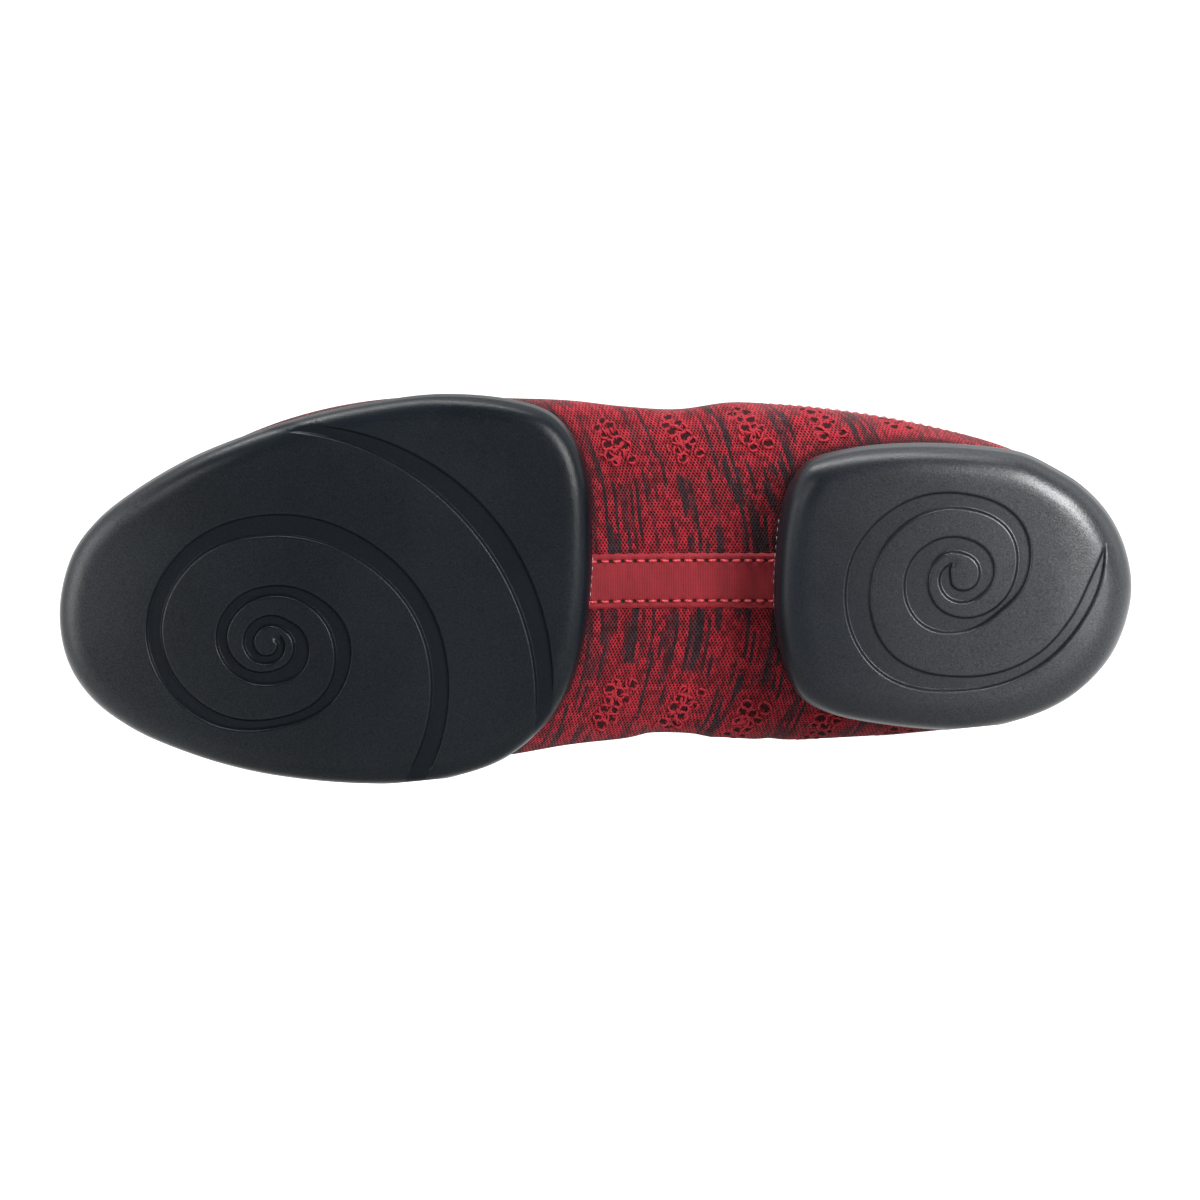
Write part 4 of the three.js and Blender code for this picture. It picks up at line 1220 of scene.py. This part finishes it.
def tape_lift(x, y):
    """How far the tape's face stands off the knit: it is drawn down at each stitch."""
    to_line = np.abs(np.abs(y) - STITCH_LINE)
    pull = np.exp(-(to_line / 0.7) ** 2) * (0.5 + 0.5 * np.cos(2 * np.pi * (x - TAPE_START) / STITCH_PITCH))
    edge = np.clip((TAPE_WIDTH / 2 - np.abs(y)) / 0.7, 0, 1)
    swell = 0.05 * np.sin(x * 0.9 + 0.6 * y) + 0.05 * np.sin(x * 0.37 - 1.1)
    return 0.35 + 0.65 * np.sqrt(edge) - 0.3 * pull + swell * np.clip((TAPE_WIDTH / 2 - np.abs(y)) / 2, 0, 1)


def make_tape(name, mat):
    x = np.arange(TAPE_START, TAPE_END + 0.01, 0.28)
    s = np.linspace(-1, 1, 81)
    y = np.sign(s) * (1 - (1 - np.abs(s)) ** 1.35) * TAPE_WIDTH / 2
    xx, yy = np.meshgrid(x, y, indexing="ij")
    # The outermost threads waver from stitch to stitch
    edge = (np.abs(yy) > TAPE_WIDTH / 2 - 0.8) * np.sign(yy)
    yy = yy + edge * 0.12 * np.sin(2 * np.pi * xx / STITCH_PITCH + 1.0)
    # Another row of points at each side brings the edges down to the knit
    xx, yy = np.pad(xx, ((0, 0), (1, 1)), "edge"), np.pad(yy, ((0, 0), (1, 1)), "edge")
    lift = tape_lift(xx, yy)
    lift[:, [0, -1]] = 0.02
    grid = under_point(xx, yy, lift)
    uv = np.stack([xx, yy], -1).reshape(-1, 2)
    return make_object(name, grid.reshape(-1, 3), grid_faces(*xx.shape, False), mat, uv=uv)


def tape_material(name, base, edge, gap):
    mat, n, shader = nodes_of(name)
    u, v = n.uv()
    side = abs(v)
    rib, thread = ((place * (2 * math.pi)).sine() for place in (u / 0.42, v / 0.3))
    cloud = n.noise(n.combine(u * 0.3, v * 0.12), 1.0, 3.0)
    # The border beyond the stitch lines is a little lighter, as a painted highlight
    colour = n.mix(n.ramp(side, STITCH_LINE + 0.3, TAPE_WIDTH / 2), base, edge)
    colour = n.shade(colour, n.ramp(cloud, 0.25, 0.75, 0.85, 1.15))
    # Needle holes between the stitches, darkened as painted shade
    dx = (0.5 - ((u - TAPE_START) / STITCH_PITCH).off_middle()) * STITCH_PITCH
    dy = side - STITCH_LINE
    hole = n.ramp(n.math("SQRT", dx * dx + dy * dy), 0.32, 0.55, 1.0, 0.0)
    n.link(n.mix(hole, colour, gap), shader.inputs["Base Color"])
    shader.inputs["Roughness"].default_value = 0.6
    shader.inputs["Specular IOR Level"].default_value = 0.12
    n.link(n.bump(rib * 0.5 + thread * 0.3 - hole * 4.0, 0.00006, 0.8), shader.inputs["Normal"])
    return mat


def tape_threads():
    """Stitches along both sides of the tape, from needle hole to needle hole."""
    paths = []
    share = np.linspace(-1, 1, 9)
    arch = np.sin(np.linspace(0, np.pi, 9)) ** 0.6
    for side in (-1, 1):
        for i in range(int((TAPE_END - TAPE_START) / STITCH_PITCH)):
            x = TAPE_START + (i + 0.5) * STITCH_PITCH + share * (STITCH_PITCH / 2 - 0.42)
            y = side * STITCH_LINE + 0.1 * np.sin(i * 2.4) * share
            paths.append(under_point(x, y, tape_lift(x, y) * 0.9 + arch * 0.3 - 0.02))
    return paths


def pad_threads():
    """Short light stitches that hold the pads to the knit, seen at their edges beside the arch."""
    paths = []
    share = np.linspace(0, 1, 6)
    for pad, arch_end in ((HEEL, HEEL.length), (FOREFOOT, FOREFOOT.start)):
        ring = inward(pad.outline, -0.05)
        run = np.cumsum(np.linalg.norm(np.roll(ring, -1, 0) - ring, axis=1))
        for place in np.arange(0.8, run[-1] - 2, PAD_STITCH_PITCH):
            x, y = at_run(ring, run, place + PAD_STITCH * share).T
            if abs(x[0] - arch_end) < 9 and np.abs(y).max() < PAD_STITCHES_TO:
                lift = 0.05 + 0.2 * np.sin(np.pi * share) + (np.abs(y) < TAPE_WIDTH / 2) * tape_lift(x, y)
                paths.append(under_point(x, y, lift))
    return paths


# Insole

def make_insole(name, mat):
    """The foot bed's upper face, as wide as the knit leaves at its height, with its rim turned up."""
    xs = HEEL_TUCK + 3.2 + (UPPER_LENGTH - 6.4) * spread(150, 0.5)
    s = section(t_at(xs))
    wall = KNIT_WALL + FIT
    top = s["low"] + wall + INSOLE_THICKNESS
    share = np.clip((s["level"] - top) / np.maximum(s["level"] - s["low"] - wall, 1.0), 0, 0.98)
    inside = (1 - share ** s["under"]) ** (1 / s["under"])
    inner, outer = (np.maximum(np.maximum(s[k] - wall, 0.5) * inside - 0.3, 0.4)[:, None]
                    for k in ("inner", "outer"))
    across = np.linspace(-1, 1, 61)
    y = across * np.where(across < 0, inner, outer)
    x = np.broadcast_to(xs[:, None], y.shape)
    z = top[:, None] - 0.5 + 1.4 * np.abs(across) ** 5
    faces = grid_faces(*y.shape, False, flip=True)
    points, uv = np.stack([x, y, z], -1).reshape(-1, 3), np.stack([x, y], -1).reshape(-1, 2)
    return make_object(name, points, faces, mat, uv=uv)


def cloth_material(name, base, light, pitch=0.9):
    """A plain close textile with a fine square weave."""
    mat, n, shader = nodes_of(name)
    u, v = n.uv()
    weave = (u * (2 * math.pi / pitch)).sine() * (v * (2 * math.pi / pitch)).sine()
    fleck = n.noise(n.coords(), 4000.0)
    # The colour is lighter where the weave and the flecks stand highest in the bump, as a painted highlight
    n.link(n.mix(n.ramp(weave + fleck * 1.5, 0.2, 1.6), base, light), shader.inputs["Base Color"])
    shader.inputs["Roughness"].default_value = 0.88
    shader.inputs["Sheen Weight"].default_value = 0.2
    n.link(n.bump(weave + fleck, 0.00015, 0.7), shader.inputs["Normal"])
    return mat


# Near-black painted shade for the notches between the loops, the gaps between the rib's courses and the knit
# beside the pads' rims
GAP_SHADE = srgb(14, 2, 4)
knit = knit_material("knit", srgb(106, 17, 26), srgb(30, 20, 24), GAP_SHADE)
rib = rib_material("rib_knit", srgb(112, 20, 30), srgb(44, 13, 18), GAP_SHADE)
# The heel's rubber is the same as the forefoot's: its lighter base and higher gloss are painted light, and
# both gloss ramps along the pads are painted highlights
rubber = rubber_material("moulded_rubber", srgb(6, 10, 14), 0.13, 0.4, (-0.07, -0.12, 0.78, 1.4))
heel_rubber_painted_light = rubber_material("moulded_rubber_painted_lighter", srgb(11, 14, 18), 0.2, 0.85, (0.046, 0.118, 0.45, 2.0))
tape_mat = tape_material("woven_tape", srgb(90, 14, 21), srgb(98, 16, 24), srgb(8, 3, 4))
thread = thread_material("red_thread", srgb(146, 26, 35))
yarn_mat = thread_material("openwork_yarn", srgb(116, 18, 28), 0.8, 0.2)
# A near-black sheet laid in the openwork holes as painted shade
hole_shade_mat, _, hole_shade_shader = nodes_of("openwork_shade")
hole_shade_shader.inputs["Base Color"].default_value = (0.012, 0.002, 0.003, 1)
hole_shade_shader.inputs["Roughness"].default_value = 0.9
hole_shade_shader.inputs["Specular IOR Level"].default_value = 0.1
lining_mat = cloth_material("lining", srgb(34, 30, 32), srgb(60, 54, 56))
insole_mat = cloth_material("insole_cloth", srgb(30, 30, 32), srgb(58, 58, 62), 0.8)

upper = make_upper("upper_knit", knit)
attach(upper, "root")
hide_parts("upper")

for piece in make_openwork(yarn_mat, hole_shade_mat):
    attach(piece, "root")

lining = make_upper("lining", lining_mat, grow=-KNIT_WALL, inner=True)
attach(lining, "root")

band = make_band("collar_rib", rib)
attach(band, "root")
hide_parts("collar_band")

fore_lines = [spiral_line(FOREFOOT, FOREFOOT_SPIRAL), sweep_line(FOREFOOT, SWEEP_GROOVE)]
forefoot = make_pad("forefoot_sole", FOREFOOT, fore_lines, rubber)
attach(forefoot, "root")
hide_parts("forefoot_pad")

heel = make_pad("heel_sole", HEEL, [spiral_line(HEEL, HEEL_SPIRAL)], heel_rubber_painted_light)
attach(heel, "root")
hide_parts("heel_pad")

tape = make_tape("arch_ribbon", tape_mat)
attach(tape, "root")
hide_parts("arch_tape")

stitches = thread_tubes("tape_stitches", tape_threads(), 0.3, thread)
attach(stitches, "root")

light_thread = thread_material("light_thread", srgb(112, 106, 108))
pad_stitches = thread_tubes("pad_stitches", pad_threads(), 0.14, light_thread, 6)
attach(pad_stitches, "root")

footbed = make_insole("footbed", insole_mat)
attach(footbed, "root")
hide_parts("insole")


# Floor, backdrop and light

def backdrop(name, width, front, depth, radius, height):
    """A pale floor that sweeps up into a wall behind the shoe."""
    bend = np.linspace(0, math.pi / 2, 25)
    profile = [(front, 0.0), (0.0, 0.0), (depth, 0.0)]
    profile += [(depth + radius * math.sin(a), radius * (1 - math.cos(a))) for a in bend[1:]]
    profile.append((depth + radius, height))
    verts = [(x, y, z) for y, z in profile for x in (-width / 2, width / 2)]
    faces = [(2 * i, 2 * i + 1, 2 * i + 3, 2 * i + 2) for i in range(len(profile) - 1)]
    mesh = bpy.data.meshes.new(name)
    mesh.from_pydata(verts, [], faces)
    mesh.polygons.foreach_set("use_smooth", [True] * len(faces))
    ob = bpy.data.objects.new(name, mesh)
    bpy.context.scene.collection.objects.link(ob)
    mat, n, shader = nodes_of(name)
    # The sweep glows softly, less so a hand's breadth in front of the shoe, where it would light the tread
    y = n.separate(n.coords())[1]
    glow = n.math("MAXIMUM", n.ramp(y, -0.3, -1.0), n.ramp(y, -0.14, -0.07))
    n.link(n.ramp(glow, 0.0, 1.0, 0.2, 0.92, False), shader.inputs["Emission Strength"])
    shader.inputs["Base Color"].default_value = (0.3, 0.3, 0.3, 1)
    shader.inputs["Roughness"].default_value = 0.9
    shader.inputs["Specular IOR Level"].default_value = 0.1
    shader.inputs["Emission Color"].default_value = (1, 1, 1, 1)
    mesh.materials.append(mat)


backdrop("floor", 8.0, -2.5, 0.7, 0.8, 3.2)

# Soft surroundings: dim on the camera's side, brighter at the sides and behind
world = bpy.data.worlds.new("studio")
bpy.context.scene.world = world
world.use_nodes = True
net = Net(world.node_tree)
glow = net.ramp(net.separate(net.coords("Generated"))[1], -0.6, 0.05, 0.0, 2.8)
sky = world.node_tree.nodes["Background"]
net.link(glow, sky.inputs["Strength"])
sky.inputs["Color"].default_value = (0.97, 0.985, 1.0, 1)


def light(name, place, aim, size, power):
    lamp = bpy.data.lights.new(name, "AREA")
    lamp.shape = "RECTANGLE"
    lamp.size, lamp.size_y = size
    lamp.energy = power
    ob = bpy.data.objects.new(name, lamp)
    ob.location = place
    ob.rotation_euler = (Vector(aim) - Vector(place)).to_track_quat("-Z", "Y").to_euler()
    bpy.context.scene.collection.objects.link(ob)


light("overhead", (-0.1, -0.17, 0.9), (0, -0.03, 0.05), (0.9, 0.16), 17)
light("right", (0.4, -0.54, 0.17), (0.08, -0.03, 0.05), (0.26, 0.3), 10.0)
light("left", (-0.62, -0.14, 0.16), (-0.12, -0.03, 0.05), (0.3, 0.4), 2.6)
light("fill", (-0.52, -0.55, 0.3), (-0.05, -0.03, 0.05), (0.3, 0.3), 2.2)

# The camera: square to the tread but for a small tilt towards the outer side, level with the floor at least
DISTANCE = 1.2
TILT = math.radians(4.0)
FLOOR_CLEARANCE = 0.006
# Place on the tread in the middle of the picture, in the shoe's millimetres
AIM = (128.5, -3.1, 0.0)
# The picture's width in pixels, and pixels to a millimetre of the tread, as measured on the photo
PICTURE_WIDTH = 1200
PIXELS_PER_MM = 4.164
target = to_row(AIM)
down, outer, to_heel = -TURN[:, 2], TURN[:, 1], -TURN[:, 0]
back = down * math.cos(TILT) + outer * math.sin(TILT)
place = target + back * DISTANCE
place[2] = max(place[2], FLOOR_CLEARANCE)
back = unit(place - target)
right = unit(to_heel - back * np.dot(to_heel, back))
above = np.cross(back, right)
camera_data = bpy.data.cameras.new("camera")
camera = bpy.data.objects.new("camera", camera_data)
bpy.context.scene.collection.objects.link(camera)
camera_data.sensor_width = 36.0
camera_data.lens = camera_data.sensor_width * DISTANCE * 1000 * PIXELS_PER_MM / PICTURE_WIDTH
camera_data.clip_start, camera_data.clip_end = 0.01, 20
camera.matrix_world = Matrix([*np.column_stack([right, above, back, place]).tolist(), [0, 0, 0, 1]])
bpy.context.scene.camera = camera
bpy.context.scene.view_settings.view_transform = "Standard"
